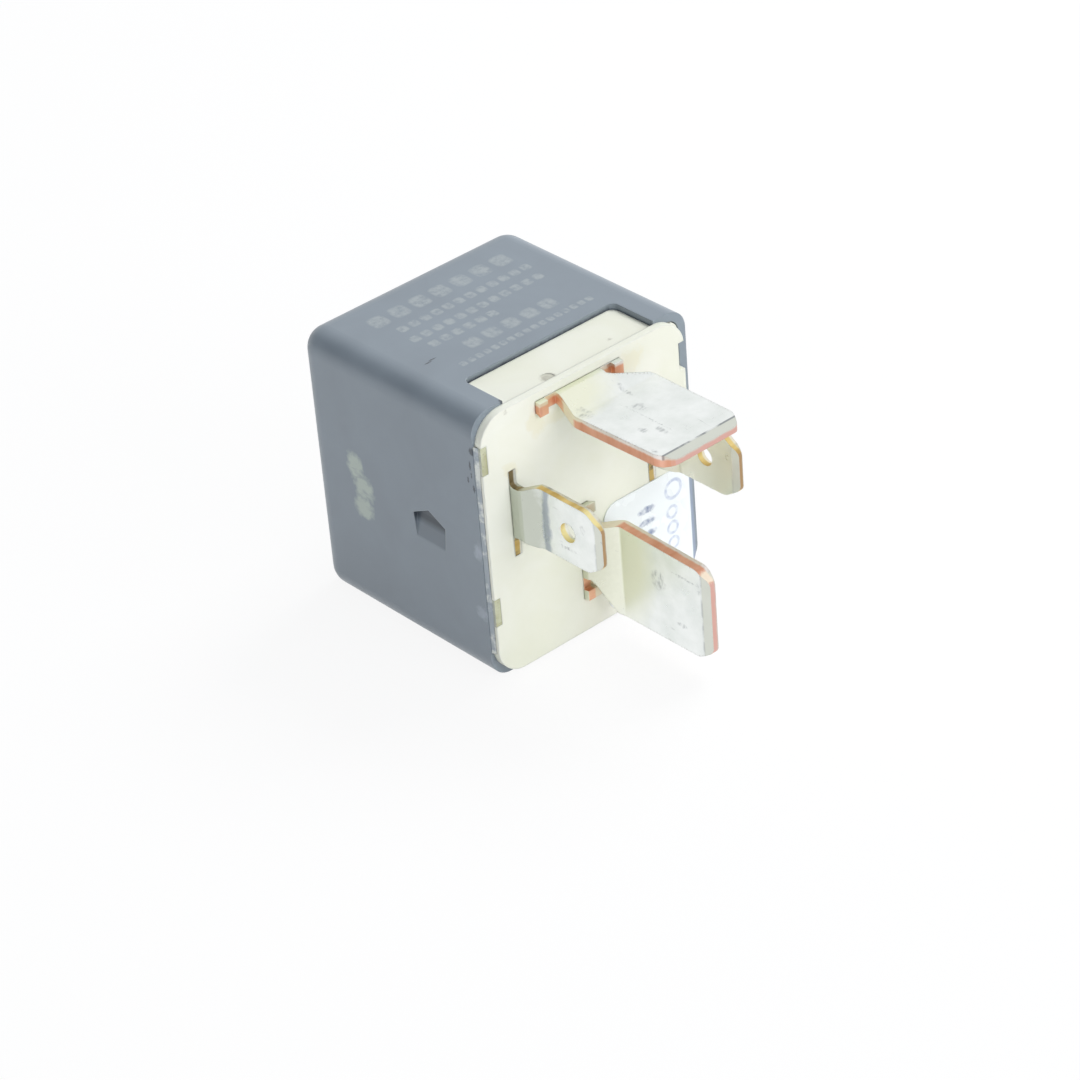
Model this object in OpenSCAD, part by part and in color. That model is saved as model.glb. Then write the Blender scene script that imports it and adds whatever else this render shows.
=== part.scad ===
// Plug-in power relay with one normally open contact, lying on its side.
// X runs across the coil terminals and +Y runs from the terminals to the closed end of the cover.
// +Z points away from the face that the relay rests on. The origin is under the middle of its box.

/* [Cover] */
// Width of the cover
cover_w = 26; // [24:0.5:32]
// Height of the cover, from the resting face to the printed face
cover_h = 28; // [26:0.5:34]
// Depth of the cover, from its rim to its closed end
cover_l = 24; // [23:0.5:30]
// Thickness of the cover's walls
cover_wall = 0.9; // [0.7:0.05:1.2]
// Radius of the cover's outer edges
cover_r = 2.2; // [1.6:0.1:2.8]
// Width of the notches in the rim that take the tongues of the base
notch_w = 18.2; // [14:0.2:20]
// Depth of those notches
notch_d = 5.35; // [5:0.05:6]
// Radius of the notches' inner corners
notch_r = 0.8; // [0.3:0.1:1.2]
// Depth of the tapered grip pockets in the sides
pocket_d = 0.5; // [0.3:0.05:0.5]

/* [Base] */
// How far the base flange stands out of the cover's rim
flange_t = 0.8; // [0.6:0.1:1.2]
// How far the flange lies inside the cover's outline at the left, the top and the bottom
flange_inset = 0.3; // [0.2:0.05:0.5]
// How far it lies inside the outline at the right, where the cover's rim shows
flange_gap = 1; // [0.6:0.1:1.1]
// Radius of the flange's corners
flange_r = 3; // [2.2:0.1:3.4]
// How far the tongues lie below the outside of the cover
tongue_inset = 0.55; // [0.3:0.05:0.6]
// Length of the skirt that enters the cover
plug_l = 5; // [4.6:0.1:5]
// Thickness of the base plate behind the flange
plate_t = 1.4; // [1.2:0.1:1.8]
// Thickness of the skirt
skirt_t = 1.2; // [1:0.1:1.5]
// Length of the recesses in the flange's edge
recess_l = 2.9; // [2:0.1:4]
// Width of those recesses, in from the edge
recess_d = 0.7; // [0.4:0.1:0.8]
// Clearance between the base and the cover
fit_gap = 0.1; // [0.05:0.05:0.15]

/* [Load terminals] */
// Width of a load blade
load_w = 9.5; // [8:0.5:9.5]
// Thickness of a load blade
load_t = 1.2; // [0.8:0.1:1.2]
// How far the load blades reach from the cover's rim
load_reach = 15; // [13:0.5:18]
// Centre of the fixed contact's blade, across
fixed_x = 1.1; // [0.6:0.1:1.6]
// Centre plane of the fixed contact's blade, up from the resting face
fixed_z = 24.8; // [24:0.1:25]
// Step of that blade from its slot towards the middle of the relay
fixed_step = 1.4; // [1:0.1:1.6]
// Centre plane of the common blade, across
common_x = 0.85; // [0.4:0.05:1.2]
// Centre of the common blade, up from the resting face
common_z = 6.75; // [6.3:0.05:7.2]
// Step of the common blade, sideways from its slot
common_step = 2.35; // [2:0.05:2.4]
// Offset from the middle of a load slot to the middle of its blade
load_offset = 2.1; // [1.8:0.1:2.2]
// Width of a load terminal where it passes through the base
shoulder_w = 10.15; // [9.6:0.05:10.4]
// Width of the two ears that stand beside the blade's neck
ear_w = 1.05; // [0.8:0.05:1.3]
// Width of the reliefs between the ears and the neck
ear_relief = 1.3; // [0.8:0.1:1.4]
// How far the ears stand out of the base
ear_proud = 0.55; // [0.2:0.05:0.8]

/* [Coil terminals] */
// Width of a coil blade
coil_w = 6.3; // [4.8:0.1:6.3]
// Thickness of a coil blade
coil_t = 0.8; // [0.5:0.05:0.8]
// How far the coil blades reach from the cover's rim
coil_reach = 11.4; // [10:0.2:13]
// Distance between the coil blades
coil_pitch = 16.8; // [16.4:0.1:17]
// Centre of the coil blades, up from the resting face
coil_z = 17.1; // [16.5:0.1:17.5]
// Sideways step of the coil blades outside their slots
coil_step = 1; // [0.6:0.1:1.2]
// Width of a coil terminal's shoulders in its slot
coil_shoulder_w = 8.9; // [8.4:0.1:9]
// Width of its neck between the shoulders and the blade
coil_neck_w = 5.3; // [4.6:0.1:5.6]
// Radius of the detent hole in a coil blade
detent_r = 0.95; // [0.6:0.05:1.1]
// Distance from a coil blade's tip to its detent hole
detent_from_tip = 4.3; // [3.5:0.1:5]

/* [Magnet] */
// Diameter of the iron core
core_d = 5.6; // [4.6:0.1:6]
// Diameter of the core's pole head
pole_d = 9.4; // [8:0.1:10]
// Outer diameter of the winding
winding_d = 12.6; // [11:0.1:13]
// Side of the bobbin's square flanges
bobbin_w = 14.4; // [13.4:0.1:14.6]
// Thickness of the bobbin's flanges
bobbin_flange = 0.8; // [0.6:0.1:1]
// Thickness of the bobbin's barrel
bobbin_wall = 0.8; // [0.5:0.1:1]
// Thickness of the yoke
yoke_t = 1.6; // [1.4:0.1:1.8]
// Width of the yoke and of the armature's seat on it
yoke_w = 13; // [11:0.5:13.6]
// Length of the yoke's leg, from the outside of its foot to the armature
yoke_l = 13.6; // [12.8:0.1:13.8]
// Thickness of the armature
armature_t = 1.4; // [1.2:0.1:1.5]
// Angle through which the armature closes
travel_deg = 4; // [2:0.5:4]
// Gap left at the pole and at the contacts when the armature is closed
closed_gap = 0.06; // [0.05:0.01:0.1]

/* [Contacts and springs] */
// Diameter of the contact rivets' heads
contact_d = 3.4; // [2.6:0.1:3.6]
// Thickness of the moving contact's head
contact_h = 1; // [0.8:0.05:1.2]
// Thickness of the leaf that carries the moving contact
leaf_t = 0.25; // [0.2:0.05:0.35]
// Width of that leaf
leaf_w = 5; // [4:0.2:6]
// Outer diameter of the return spring
spring_d = 1.9; // [1.6:0.05:1.9]
// Diameter of the return spring's wire
spring_wire = 0.3; // [0.2:0.05:0.35]
// Turns of the return spring
spring_turns = 12; // [8:1:16]
// Diameter of the copper braid
braid_d = 1.2; // [0.8:0.1:1.4]

/* [Label] */
// Width of the label
label_w = 11.1; // [8:0.1:11.2]
// Height of the label
label_h = 11.7; // [8:0.1:11.8]
// Thickness of the label
label_t = 0.12; // [0.08:0.01:0.2]

/* [Hidden] */
$fn = 48;
rim_y = (load_reach - cover_l) / 2;
far = 60;
slack = 0.02;

// Inside of the cover
in_x = cover_w / 2 - cover_wall;
in_low = cover_wall;
in_high = cover_h - cover_wall;
in_end = cover_l - cover_wall;
in_r = cover_r - cover_wall;

// Outline of the flange and the depth of its recesses, measured from the rim
flange_left = flange_inset - cover_w / 2;
flange_right = cover_w / 2 - flange_gap;
flange_w = flange_right - flange_left;
flange_h = cover_h - 2 * flange_inset;
recess_end = 0.9;
recess_z = [common_z - 0.7, coil_z + 5];

// Slots of the load terminals, measured from the rim
slot_gap = 0.03;
proud = 0.03;
bend_y0 = -1.2;
bend_y1 = -3.3;
fixed_slot_x = fixed_x - load_offset;
fixed_slot_z = fixed_z + fixed_step;
common_slot_x = common_x - common_step;
common_slot_z = common_z + load_offset;
tip_bevel_l = 0.95;
tip_bevel_t = 0.3;

// Slots and inner tabs of the coil terminals
coil_slot_z = coil_z - 0.3;
coil_bend_y0 = -2.1;
coil_bend_y1 = -3.5;
coil_left_slot_x = -coil_pitch / 2 - coil_step;
coil_right_slot_x = coil_pitch / 2 - coil_step - 0.25;
coil_tab_x = coil_pitch / 2 + coil_step;
coil_tab_low = coil_z - 1;
coil_tab_high = coil_z + 2.6;
coil_tab_end = 9.4;
boss_end = plug_l - fit_gap - 0.5;

// Magnet, measured from the rim
foot_y = plug_l + 0.4;
pole_y = foot_y + yoke_l;
leg_low = in_low + 2.3;
leg_high = leg_low + yoke_t;
bobbin_low = leg_high + 0.4;
core_z = bobbin_low + bobbin_w / 2;
bobbin_y0 = foot_y + yoke_t + slack;
pole_head_t = 1.1;
bobbin_y1 = pole_y - pole_head_t - slack;
bobbin_bore = core_d / 2 + 0.05;
barrel_r = bobbin_bore + bobbin_wall;
wire_d = 0.3;
wire_x = 3;
wire_z = core_z + sqrt(pow(winding_d / 2 + wire_d / 2 + slack, 2) - wire_x * wire_x);
neck_r = core_d / 2 - 0.8;
neck_head_t = 0.6;

// Armature and contacts in the closed position, measured from the rim
hinge_y = pole_y + closed_gap;
hinge_z = leg_low;
armature_top = hinge_y + armature_t;
armature_high = bobbin_low + bobbin_w;
armature_w = yoke_w - 1.4;
tail_low = in_low + 0.25;
contact_z = armature_high + 3.3;
contact_face_y = armature_top - contact_h;
fixed_face_y = contact_face_y - closed_gap;
bracket_y = fixed_face_y - 1.1 - load_t / 2;
leaf_low = core_z - 6;
leaf_high = contact_z + 1.9;
wing_w = 1.2;
wing_h = 1.6;
wing_z = armature_high + 1;
rivet_z = [core_z - 3.4, core_z + 3.4];
rivet_r = 0.8;
rivet_head_r = 1.3;
rivet_head_h = 0.4;

// Return spring under the yoke's leg
spring_z = in_low + 0.1 + spring_d / 2;
spring_y0 = foot_y + 4;
spring_y1 = pole_y - 2;
lug_y = foot_y + 2;
lug_t = 1;

// Resistor across the coil
resistor_d = 2.2;
resistor_l = 6.2;
lead_d = 0.6;
resistor_z = armature_high + 2.9;
resistor_y = coil_tab_end - 0.8;
lead_x = coil_tab_x - coil_t / 2 - lead_d / 2 - slack;

// Braid, one smooth bow from the leaf's wing down the bobbin's side to the yoke's foot
braid_start = [-leaf_w / 2 - wing_w - 0.15,
    hinge_y + armature_t + (wing_z - hinge_z) * tan(travel_deg) + leaf_t / 2, wing_z];
braid_end = [-yoke_w / 2 - 0.2, foot_y + yoke_t / 2, core_z - 2.6];
braid_bow = [braid_start, braid_start + [-6.7, 1.1, 0], braid_end + [-6.9, 1.3, 0.2], braid_end];

// ---------- shared shapes ----------

// Moves children from the rim's plane to the model's frame
module at_rim() {
    translate([0, rim_y, 0]) children();
}

// Extrudes a flat shape along Y from y0 over length l; the shape's second axis becomes Z
module along_y(y0, l) {
    translate([0, y0 + l, 0]) rotate([90, 0, 0]) linear_extrude(l) children();
}

// Extrudes a flat shape along X, centred; its axes become Y and Z
module across_x(l) {
    translate([-l / 2, 0, 0]) rotate([90, 0, 90]) linear_extrude(l) children();
}

// Box from its low corner to its high corner
module span(low, high) {
    translate(low) cube(high - low);
}

// Rectangle from x0, z0 with true round corners
module round_rect(x0, z0, w, h, r) {
    translate([x0 + r, z0]) square([w - 2 * r, h]);
    translate([x0, z0 + r]) square([w, h - 2 * r]);
    for (x = [x0 + r, x0 + w - r], z = [z0 + r, z0 + h - r])
        translate([x, z]) circle(r);
}

// Block centred on X that stands on z0, flat at y0 and rounded on all its other edges
module round_block(w, y0, y1, z0, h, r) {
    along_y(y0, y1 - r - y0) round_rect(-w / 2, z0, w, h, r);
    span([r - w / 2, y1 - r, z0 + r], [w / 2 - r, y1, z0 + h - r]);
    for (z = [z0 + r, z0 + h - r])
        translate([r - w / 2, y1 - r, z]) rotate([0, 90, 0]) cylinder(r = r, h = w - 2 * r);
    for (x = [r - w / 2, w / 2 - r])
        translate([x, y1 - r, z0 + r]) cylinder(r = r, h = h - 2 * r);
    for (x = [r - w / 2, w / 2 - r], z = [z0 + r, z0 + h - r])
        translate([x, y1 - r, z]) sphere(r);
}

// Cylinder along Y
module rod_y(r, y0, y1, x = 0, z = 0) {
    translate([x, y1, z]) rotate([90, 0, 0]) cylinder(r = r, h = y1 - y0);
}

function unit(v) = v / norm(v);
function left_of(v) = [-v[1], v[0]];
function heading(p, i) = unit(p[min(i + 1, len(p) - 1)] - p[min(i, len(p) - 2)]);

// Sideways step at point i of a centre line that keeps both faces parallel to it
function miter(p, i) =
    let (a = left_of(heading(p, max(i - 1, 0))), b = left_of(heading(p, i)), n = unit(a + b))
    n / (n * a);

// Outline of a strip of thickness t about a centre line
function strip(p, t) = concat(
    [for (i = [0 : len(p) - 1]) p[i] + miter(p, i) * t / 2],
    [for (i = [len(p) - 1 : -1 : 0]) p[i] - miter(p, i) * t / 2]);

// Centre line with each inner corner eased over length r
function eased(p, r) = concat([p[0]],
    [for (i = [1 : len(p) - 2])
        let (a = p[i] - unit(p[i] - p[i - 1]) * r, b = p[i] + unit(p[i + 1] - p[i]) * r)
        for (t = [0, 0.5, 1]) (1 - t) * (1 - t) * a + 2 * t * (1 - t) * p[i] + t * t * b],
    [p[len(p) - 1]]);

// Point at t, from 0 to 1, on the curve that four control points shape
function bow(c, t) = pow(1 - t, 3) * c[0] + 3 * t * pow(1 - t, 2) * c[1]
    + 3 * t * t * (1 - t) * c[2] + pow(t, 3) * c[3];

// Half of a blade's tip in length and half width: a chamfer with eased ends
function tip_edge(tip, half_w, long, short) = [
    [tip, 0], [tip, half_w - short - 0.3], [tip + 0.1, half_w - short], [tip + 0.35, half_w - short + 0.3],
    [tip + long - 0.4, half_w - 0.15], [tip + long, half_w - 0.03], [tip + long + 0.5, half_w]];

// ---------- cover and base ----------

module grip_pocket() {
    // deep under its gabled roof and running out to nothing at its foot
    near_y = 4.9;
    away_y = 9.3;
    taper = 0.25;
    foot_z = 11.8;
    eave_z = 14.3;
    ridge_z = 15.4;
    side = -cover_w / 2;
    intersection() {
        translate([side, 0, 0]) across_x(far)
            polygon([[near_y + taper, foot_z], [away_y - taper, foot_z], [away_y, eave_z],
                [(near_y + away_y) / 2, ridge_z], [near_y, eave_z]]);
        along_y(0, far)
            polygon([[side - 1, foot_z], [side, foot_z], [side + pocket_d, eave_z],
                [side + pocket_d, ridge_z], [side - 1, ridge_z]]);
    }
}

// Plan of a notch, drawn gap smaller all round for the tongue that fills it
module notch_plan(gap) {
    half = notch_w / 2 - gap;
    end = notch_d - gap;
    translate([-half, -flange_t / 2]) square([2 * half, end - notch_r + flange_t / 2]);
    translate([notch_r - half, 0]) square([2 * (half - notch_r), end]);
    for (x = [notch_r - half, half - notch_r])
        translate([x, end - notch_r]) circle(notch_r);
}

module cover() {
    color("#8d979e") at_rim() difference() {
        round_block(cover_w, 0, cover_l, 0, cover_h, cover_r);
        round_block(2 * in_x, -1, in_end, in_low, in_high - in_low, in_r);
        translate([0, 0, -1]) linear_extrude(cover_h + 2) notch_plan(0);
        grip_pocket();
        mirror([1, 0, 0]) grip_pocket();
    }
}

// Slot and ear pockets of a load terminal; its width runs along X and its middle lies at 0, 0
module load_slot() {
    half = shoulder_w / 2 + slot_gap;
    span([-half, -flange_t - 1, -load_t / 2 - slot_gap], [half, far, load_t / 2 + slot_gap]);
}

module coil_slot(x) {
    wide = coil_t / 2 + slot_gap;
    high = coil_shoulder_w / 2 + slot_gap;
    span([x - wide, -flange_t - 1, coil_slot_z - high], [x + wide, far, coil_slot_z + high]);
}

// Puts a part drawn with its width along X onto the common terminal's upright plane
module to_common() {
    translate([common_slot_x, 0, common_slot_z]) mirror([1, 0, 0]) rotate([0, 90, 0]) children();
}

module base_bosses() {
    boss = 1;
    end = boss_end;
    // round the fixed contact's slot
    half = shoulder_w / 2 + boss;
    span([fixed_slot_x - half, 0, fixed_slot_z - load_t / 2 - boss],
        [fixed_slot_x + half, end, in_high - fit_gap]);
    // round the common slot
    span([common_slot_x - load_t / 2 - boss, 0, common_slot_z - half],
        [common_slot_x + load_t / 2 + boss, end, common_slot_z + half]);
    // round the coil slots
    for (x = [coil_left_slot_x, coil_right_slot_x])
        span([x - coil_t / 2 - boss, 0, coil_slot_z - coil_shoulder_w / 2 - boss],
            [x + coil_t / 2 + boss, end - 2, coil_slot_z + coil_shoulder_w / 2 + boss]);
}

module base_posts() {
    // pads that carry the yoke's foot
    pad = 2.2;
    for (x = [-yoke_w / 2 + 0.2, yoke_w / 2 - pad - 0.2], z = [bobbin_low, core_z + 2.2])
        span([x, 0, z], [x + pad, foot_y - slack, z + pad]);
}

module base() {
    plug_w = 2 * (in_x - fit_gap);
    plug_h = in_high - in_low - 2 * fit_gap;
    plug_low = in_low + fit_gap;
    color("#edf0e4") at_rim() difference() {
        union() {
            along_y(-flange_t, flange_t)
                round_rect(flange_left, flange_inset, flange_w, flange_h, flange_r);
            difference() {
                along_y(0, plug_l) round_rect(-plug_w / 2, plug_low, plug_w, plug_h, in_r - fit_gap);
                along_y(plate_t, far)
                    round_rect(skirt_t - plug_w / 2, plug_low + skirt_t, plug_w - 2 * skirt_t,
                        plug_h - 2 * skirt_t, 0.5);
            }
            // tongues that fill the notches of the cover
            tongue_t = plug_low + skirt_t - tongue_inset;
            for (z = [tongue_inset, cover_h - tongue_inset - tongue_t])
                translate([0, 0, z]) linear_extrude(tongue_t) notch_plan(fit_gap);
            base_bosses();
            base_posts();
        }
        translate([fixed_slot_x, 0, fixed_slot_z]) load_slot();
        to_common() load_slot();
        coil_slot(coil_left_slot_x);
        coil_slot(coil_right_slot_x);
        // recesses in both edges
        for (x = [flange_left - 1, flange_right - recess_d], z = recess_z)
            span([x, -flange_t - 1, z], [x + recess_d + 1, recess_end, z + recess_l]);
        // shallow ejector mark on the upper tongue
        translate([-3.15, 0.7, cover_h - tongue_inset - 0.06]) cylinder(r = 0.65, h = 1);
    }
}

// ---------- terminals ----------

// Blade of a load terminal: width along X, slot middle at 0, 0, blade below it by step
module load_blade(step, inner_y, inner_low, inner_high) {
    path = eased([[inner_y, 0], [bend_y0, 0], [bend_y1, -step], [-load_reach, -step]], 0.35);
    right = load_offset + load_w / 2;
    left = load_offset - load_w / 2;
    half = shoulder_w / 2;
    ear_x = half - ear_w;
    neck = ear_x - ear_relief;
    ear_y = -flange_t - ear_proud;
    neck_y = -flange_t - proud;
    flare = 0.28;
    tip = tip_edge(-load_reach, load_w / 2, 1.75, 1.05);
    // from the tip's right corner round the ears and the strip inside the base to its left corner
    outline = concat(
        [for (p = tip) [load_offset + p[1], p[0]]],
        [[right, bend_y1 - 0.25], [right - 0.3, bend_y1 + 0.1]],
        [[neck + 0.45, bend_y0 - 0.7], [neck, bend_y0 - 0.4]],
        [[neck, neck_y], [ear_x, neck_y], [ear_x, ear_y], [half, ear_y], [half, plate_t]],
        [[inner_high, plate_t], [inner_high, inner_y], [inner_low, inner_y], [inner_low, plate_t]],
        [[-half, plate_t], [-half, ear_y], [-ear_x, ear_y], [-ear_x, neck_y], [-neck, neck_y]],
        [[-neck, bend_y0 - 0.3], [left - flare, bend_y1]],
        [for (i = [len(tip) - 2 : -1 : 1]) [load_offset - tip[i][1], tip[i][0]]]);
    difference() {
        intersection() {
            across_x(far) polygon(strip(path, load_t));
            translate([0, 0, -far / 2]) linear_extrude(far) polygon(outline);
        }
        // lead-in bevels on both faces of the tip
        for (side = [-1, 1])
            translate([0, 0, -step]) across_x(far) polygon([[-load_reach + tip_bevel_l, side * load_t / 2],
                [-load_reach + tip_bevel_l, side * load_t], [-load_reach - 1, side * load_t],
                [-load_reach, side * (load_t / 2 - tip_bevel_t)]]);
    }
}

module terminal_fixed() {
    // the strip runs along the inside of the cover and turns down to carry the fixed contact
    strip_w = 7.2;
    low = -strip_w / 2 - fixed_slot_x;
    drop = fixed_slot_z - contact_z + 2.6;
    bracket = [[plate_t + 0.5, 0], [bracket_y, 0], [bracket_y, -drop]];
    color("#d9dddd") at_rim() difference() {
        translate([fixed_slot_x, 0, fixed_slot_z]) union() {
            load_blade(fixed_step, plate_t + 1, low, low + strip_w);
            translate([-fixed_slot_x, 0, 0]) across_x(strip_w)
                polygon(strip(eased(bracket, 0.7), load_t));
        }
        rod_y(contact_d / 4 + slack, 0, far, 0, contact_z);
    }
}

module terminal_common() {
    // the strip inside ends against the yoke's foot, below the core's riveted neck
    strip_w = 4.8;
    low = shoulder_w / 2 - strip_w - 1;
    color("#d6d9cf") at_rim() to_common() load_blade(common_step, foot_y - slack, low, low + strip_w);
}

// Coil blade in its upright plane; path is the centre line seen along Z
module coil_blade(path) {
    half = coil_w / 2;
    neck = coil_neck_w / 2;
    low = coil_slot_z - coil_shoulder_w / 2;
    high = coil_slot_z + coil_shoulder_w / 2;
    face = -flange_t - proud;
    tip = tip_edge(-coil_reach, half, 2, 1.25);
    // root of the blade in length and half width: out from the neck to the blade's edge
    root = [[coil_bend_y1 + 0.2, half], [coil_bend_y0 + 0.2, neck], [face - 0.4, neck],
        [face - 0.1, neck + 0.1], [face, neck + 0.35]];
    bevel_l = 0.8;
    bevel_t = 0.2;
    outline = concat(
        [for (p = tip) [p[0], coil_z + p[1]]],
        [for (p = root) [p[0], coil_z + p[1]]],
        [[face, high], [plate_t, high], [plate_t, coil_tab_high], [coil_tab_end, coil_tab_high]],
        [[coil_tab_end, coil_tab_low], [plate_t, coil_tab_low], [plate_t, low], [face, low]],
        [for (i = [len(root) - 1 : -1 : 0]) [root[i][0], coil_z - root[i][1]]],
        [for (i = [len(tip) - 1 : -1 : 1]) [tip[i][0], coil_z - tip[i][1]]]);
    difference() {
        intersection() {
            translate([0, 0, 1]) linear_extrude(far) polygon(strip(path, coil_t));
            across_x(far) polygon(outline);
        }
        // detent hole
        blade_x = path[len(path) - 1][0];
        translate([blade_x - 1, -coil_reach + detent_from_tip, coil_z])
            rotate([0, 90, 0]) cylinder(r = detent_r, h = 2);
        // lead-in bevels
        for (side = [-1, 1])
            translate([blade_x, 0, 0]) linear_extrude(far) polygon([[side * coil_t / 2, -coil_reach + bevel_l],
                [side * coil_t, -coil_reach + bevel_l], [side * coil_t, -coil_reach - 1],
                [side * (coil_t / 2 - bevel_t), -coil_reach]]);
    }
}

module terminal_coil_left() {
    x = coil_left_slot_x;
    path = [[x, coil_tab_end], [x, coil_bend_y0], [x + coil_step, coil_bend_y1],
        [x + coil_step, -coil_reach]];
    color("#dadedc") at_rim() coil_blade(eased(path, 0.35));
}

module terminal_coil_right() {
    x = coil_right_slot_x;
    path = [[coil_tab_x, coil_tab_end], [coil_tab_x, boss_end + 1.4], [x, boss_end - 1.2],
        [x, coil_bend_y0], [coil_pitch / 2, coil_bend_y1], [coil_pitch / 2, -coil_reach]];
    color("#d4d4c6") at_rim() coil_blade(eased(path, 0.35));
}

// ---------- magnet ----------

module bobbin() {
    color("#3d4145") at_rim() difference() {
        union() {
            rod_y(barrel_r, bobbin_y0, bobbin_y1, 0, core_z);
            for (y = [bobbin_y0, bobbin_y1 - bobbin_flange])
                along_y(y, bobbin_flange) round_rect(-bobbin_w / 2, bobbin_low, bobbin_w, bobbin_w, 1.6);
        }
        rod_y(bobbin_bore, 0, far, 0, core_z);
        // slots that let the winding's ends out
        for (side = [-1, 1])
            span([side * wire_x - 0.4, bobbin_y0 - 1, wire_z - 0.4],
                [side * wire_x + 0.4, bobbin_y0 + bobbin_flange + slack, far]);
    }
}

module winding() {
    color("#9c5a2c") at_rim() difference() {
        rod_y(winding_d / 2, bobbin_y0 + bobbin_flange + slack, bobbin_y1 - bobbin_flange - slack,
            0, core_z);
        rod_y(barrel_r + slack, 0, far, 0, core_z);
    }
}

module core() {
    color("#8f9498") at_rim() {
        rod_y(core_d / 2, foot_y + yoke_t + slack, pole_y, 0, core_z);
        rod_y(pole_d / 2, pole_y - pole_head_t, pole_y, 0, core_z);
        rod_y(neck_r, foot_y - neck_head_t, foot_y + yoke_t + 0.5, 0, core_z);
        rod_y(neck_r + 0.5, foot_y - neck_head_t, foot_y - slack, 0, core_z);
    }
}

module yoke() {
    foot_high = core_z + 5;
    bend = 0.8;
    path = eased([[foot_y + yoke_t / 2, foot_high], [foot_y + yoke_t / 2, leg_low + yoke_t / 2],
        [pole_y, leg_low + yoke_t / 2]], bend);
    color("#a3a7a8") at_rim() difference() {
        union() {
            across_x(yoke_w) polygon(strip(path, yoke_t));
            // lug that holds the return spring
            span([-0.9, lug_y, spring_z - 0.6], [0.9, lug_y + lug_t, leg_low + 0.2]);
        }
        rod_y(neck_r + slack, 0, far, 0, core_z);
        span([-0.3, 0, spring_z - 1], [0.3, lug_y + lug_t + 1, spring_z + 0.3]);
    }
}

// ---------- armature ----------

// Turns the moving parts from their closed place to their resting place
module armature_open() {
    at_rim() translate([0, hinge_y, hinge_z]) rotate([-travel_deg, 0, 0])
        translate([0, -hinge_y, -hinge_z]) children();
}

module armature() {
    color("#9a9ea0") armature_open() difference() {
        union() {
            along_y(hinge_y, armature_t)
                round_rect(-armature_w / 2, hinge_z - 0.5, armature_w, armature_high - hinge_z + 0.5, 0.8);
            span([-1.6, hinge_y, tail_low], [1.6, armature_top, hinge_z + 0.5]);
        }
        for (z = rivet_z)
            rod_y(rivet_r + slack, 0, far, 0, z);
        span([-0.3, 0, 0], [0.3, far, spring_z + 0.5]);
    }
}

module contact_leaf() {
    color("#b8763f") armature_open() difference() {
        along_y(armature_top, leaf_t) union() {
            round_rect(-leaf_w / 2, leaf_low, leaf_w, leaf_high - leaf_low, 1);
            round_rect(-leaf_w / 2 - wing_w, wing_z - wing_h / 2, leaf_w, wing_h, 0.4);
        }
        for (z = rivet_z)
            rod_y(rivet_r + slack, 0, far, 0, z);
        rod_y(contact_d / 4 + slack, 0, far, 0, contact_z);
    }
}

module leaf_rivets() {
    color("#b9bdbd") armature_open() for (z = rivet_z) {
        rod_y(rivet_r, hinge_y + 0.1, armature_top + leaf_t + 0.2, 0, z);
        rod_y(rivet_head_r, armature_top + leaf_t, armature_top + leaf_t + rivet_head_h, 0, z);
    }
}

module moving_contact() {
    leaf_back = armature_top + leaf_t;
    color("#d8d8d4") armature_open() {
        rod_y(contact_d / 2, contact_face_y, armature_top - slack, 0, contact_z);
        rod_y(contact_d / 4, contact_face_y + 0.2, leaf_back + 0.3, 0, contact_z);
        rod_y(contact_d / 4 + 0.35, leaf_back + slack, leaf_back + 0.35, 0, contact_z);
    }
}

module fixed_contact() {
    back = bracket_y - load_t / 2;
    color("#d8d8d4") at_rim() {
        rod_y(contact_d / 2, bracket_y + load_t / 2 + slack, fixed_face_y, 0, contact_z);
        rod_y(contact_d / 4, back - 0.3, fixed_face_y - 0.2, 0, contact_z);
        rod_y(contact_d / 4 + 0.35, back - 0.35, back - slack, 0, contact_z);
    }
}

module back_stop() {
    // a stamped bridge over the armature, standing on the bobbin's flange
    stop_t = 0.6;
    low = armature_high - 2;
    reach = low - hinge_z + 1.4;
    bar_y = hinge_y + (armature_t + leaf_t) / cos(travel_deg) + reach * tan(travel_deg) + 0.08;
    leg_x = armature_w / 2 + 0.5 + stop_t / 2;
    bar = bar_y + stop_t / 2;
    color("#8f9498") at_rim() translate([0, 0, low]) linear_extrude(1.4)
        polygon(strip([[-leg_x, bobbin_y1], [-leg_x, bar], [leg_x, bar], [leg_x, bobbin_y1]], stop_t));
}

// ---------- springs, wires and small parts ----------

// Tube of radius r with n sides along a list of points
module tube(p, r, n = 8) {
    m = len(p);
    ring = function (i) let (
        d = unit(p[min(i + 1, m - 1)] - p[max(i - 1, 0)]),
        u = unit(cross(d, abs(d[2]) < 0.9 ? [0, 0, 1] : [1, 0, 0])), v = cross(d, u))
        [for (k = [0 : n - 1]) p[i] + r * (cos(360 * k / n) * u + sin(360 * k / n) * v)];
    pts = [for (i = [0 : m - 1]) each ring(i)];
    sides = [for (i = [0 : m - 2], k = [0 : n - 1])
        each let (a = i * n + k, b = i * n + (k + 1) % n) [[a, b, b + n], [a, b + n, a + n]]];
    ends = [[for (k = [n - 1 : -1 : 0]) k], [for (k = [0 : n - 1]) (m - 1) * n + k]];
    polyhedron(pts, concat(sides, ends));
}

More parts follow.
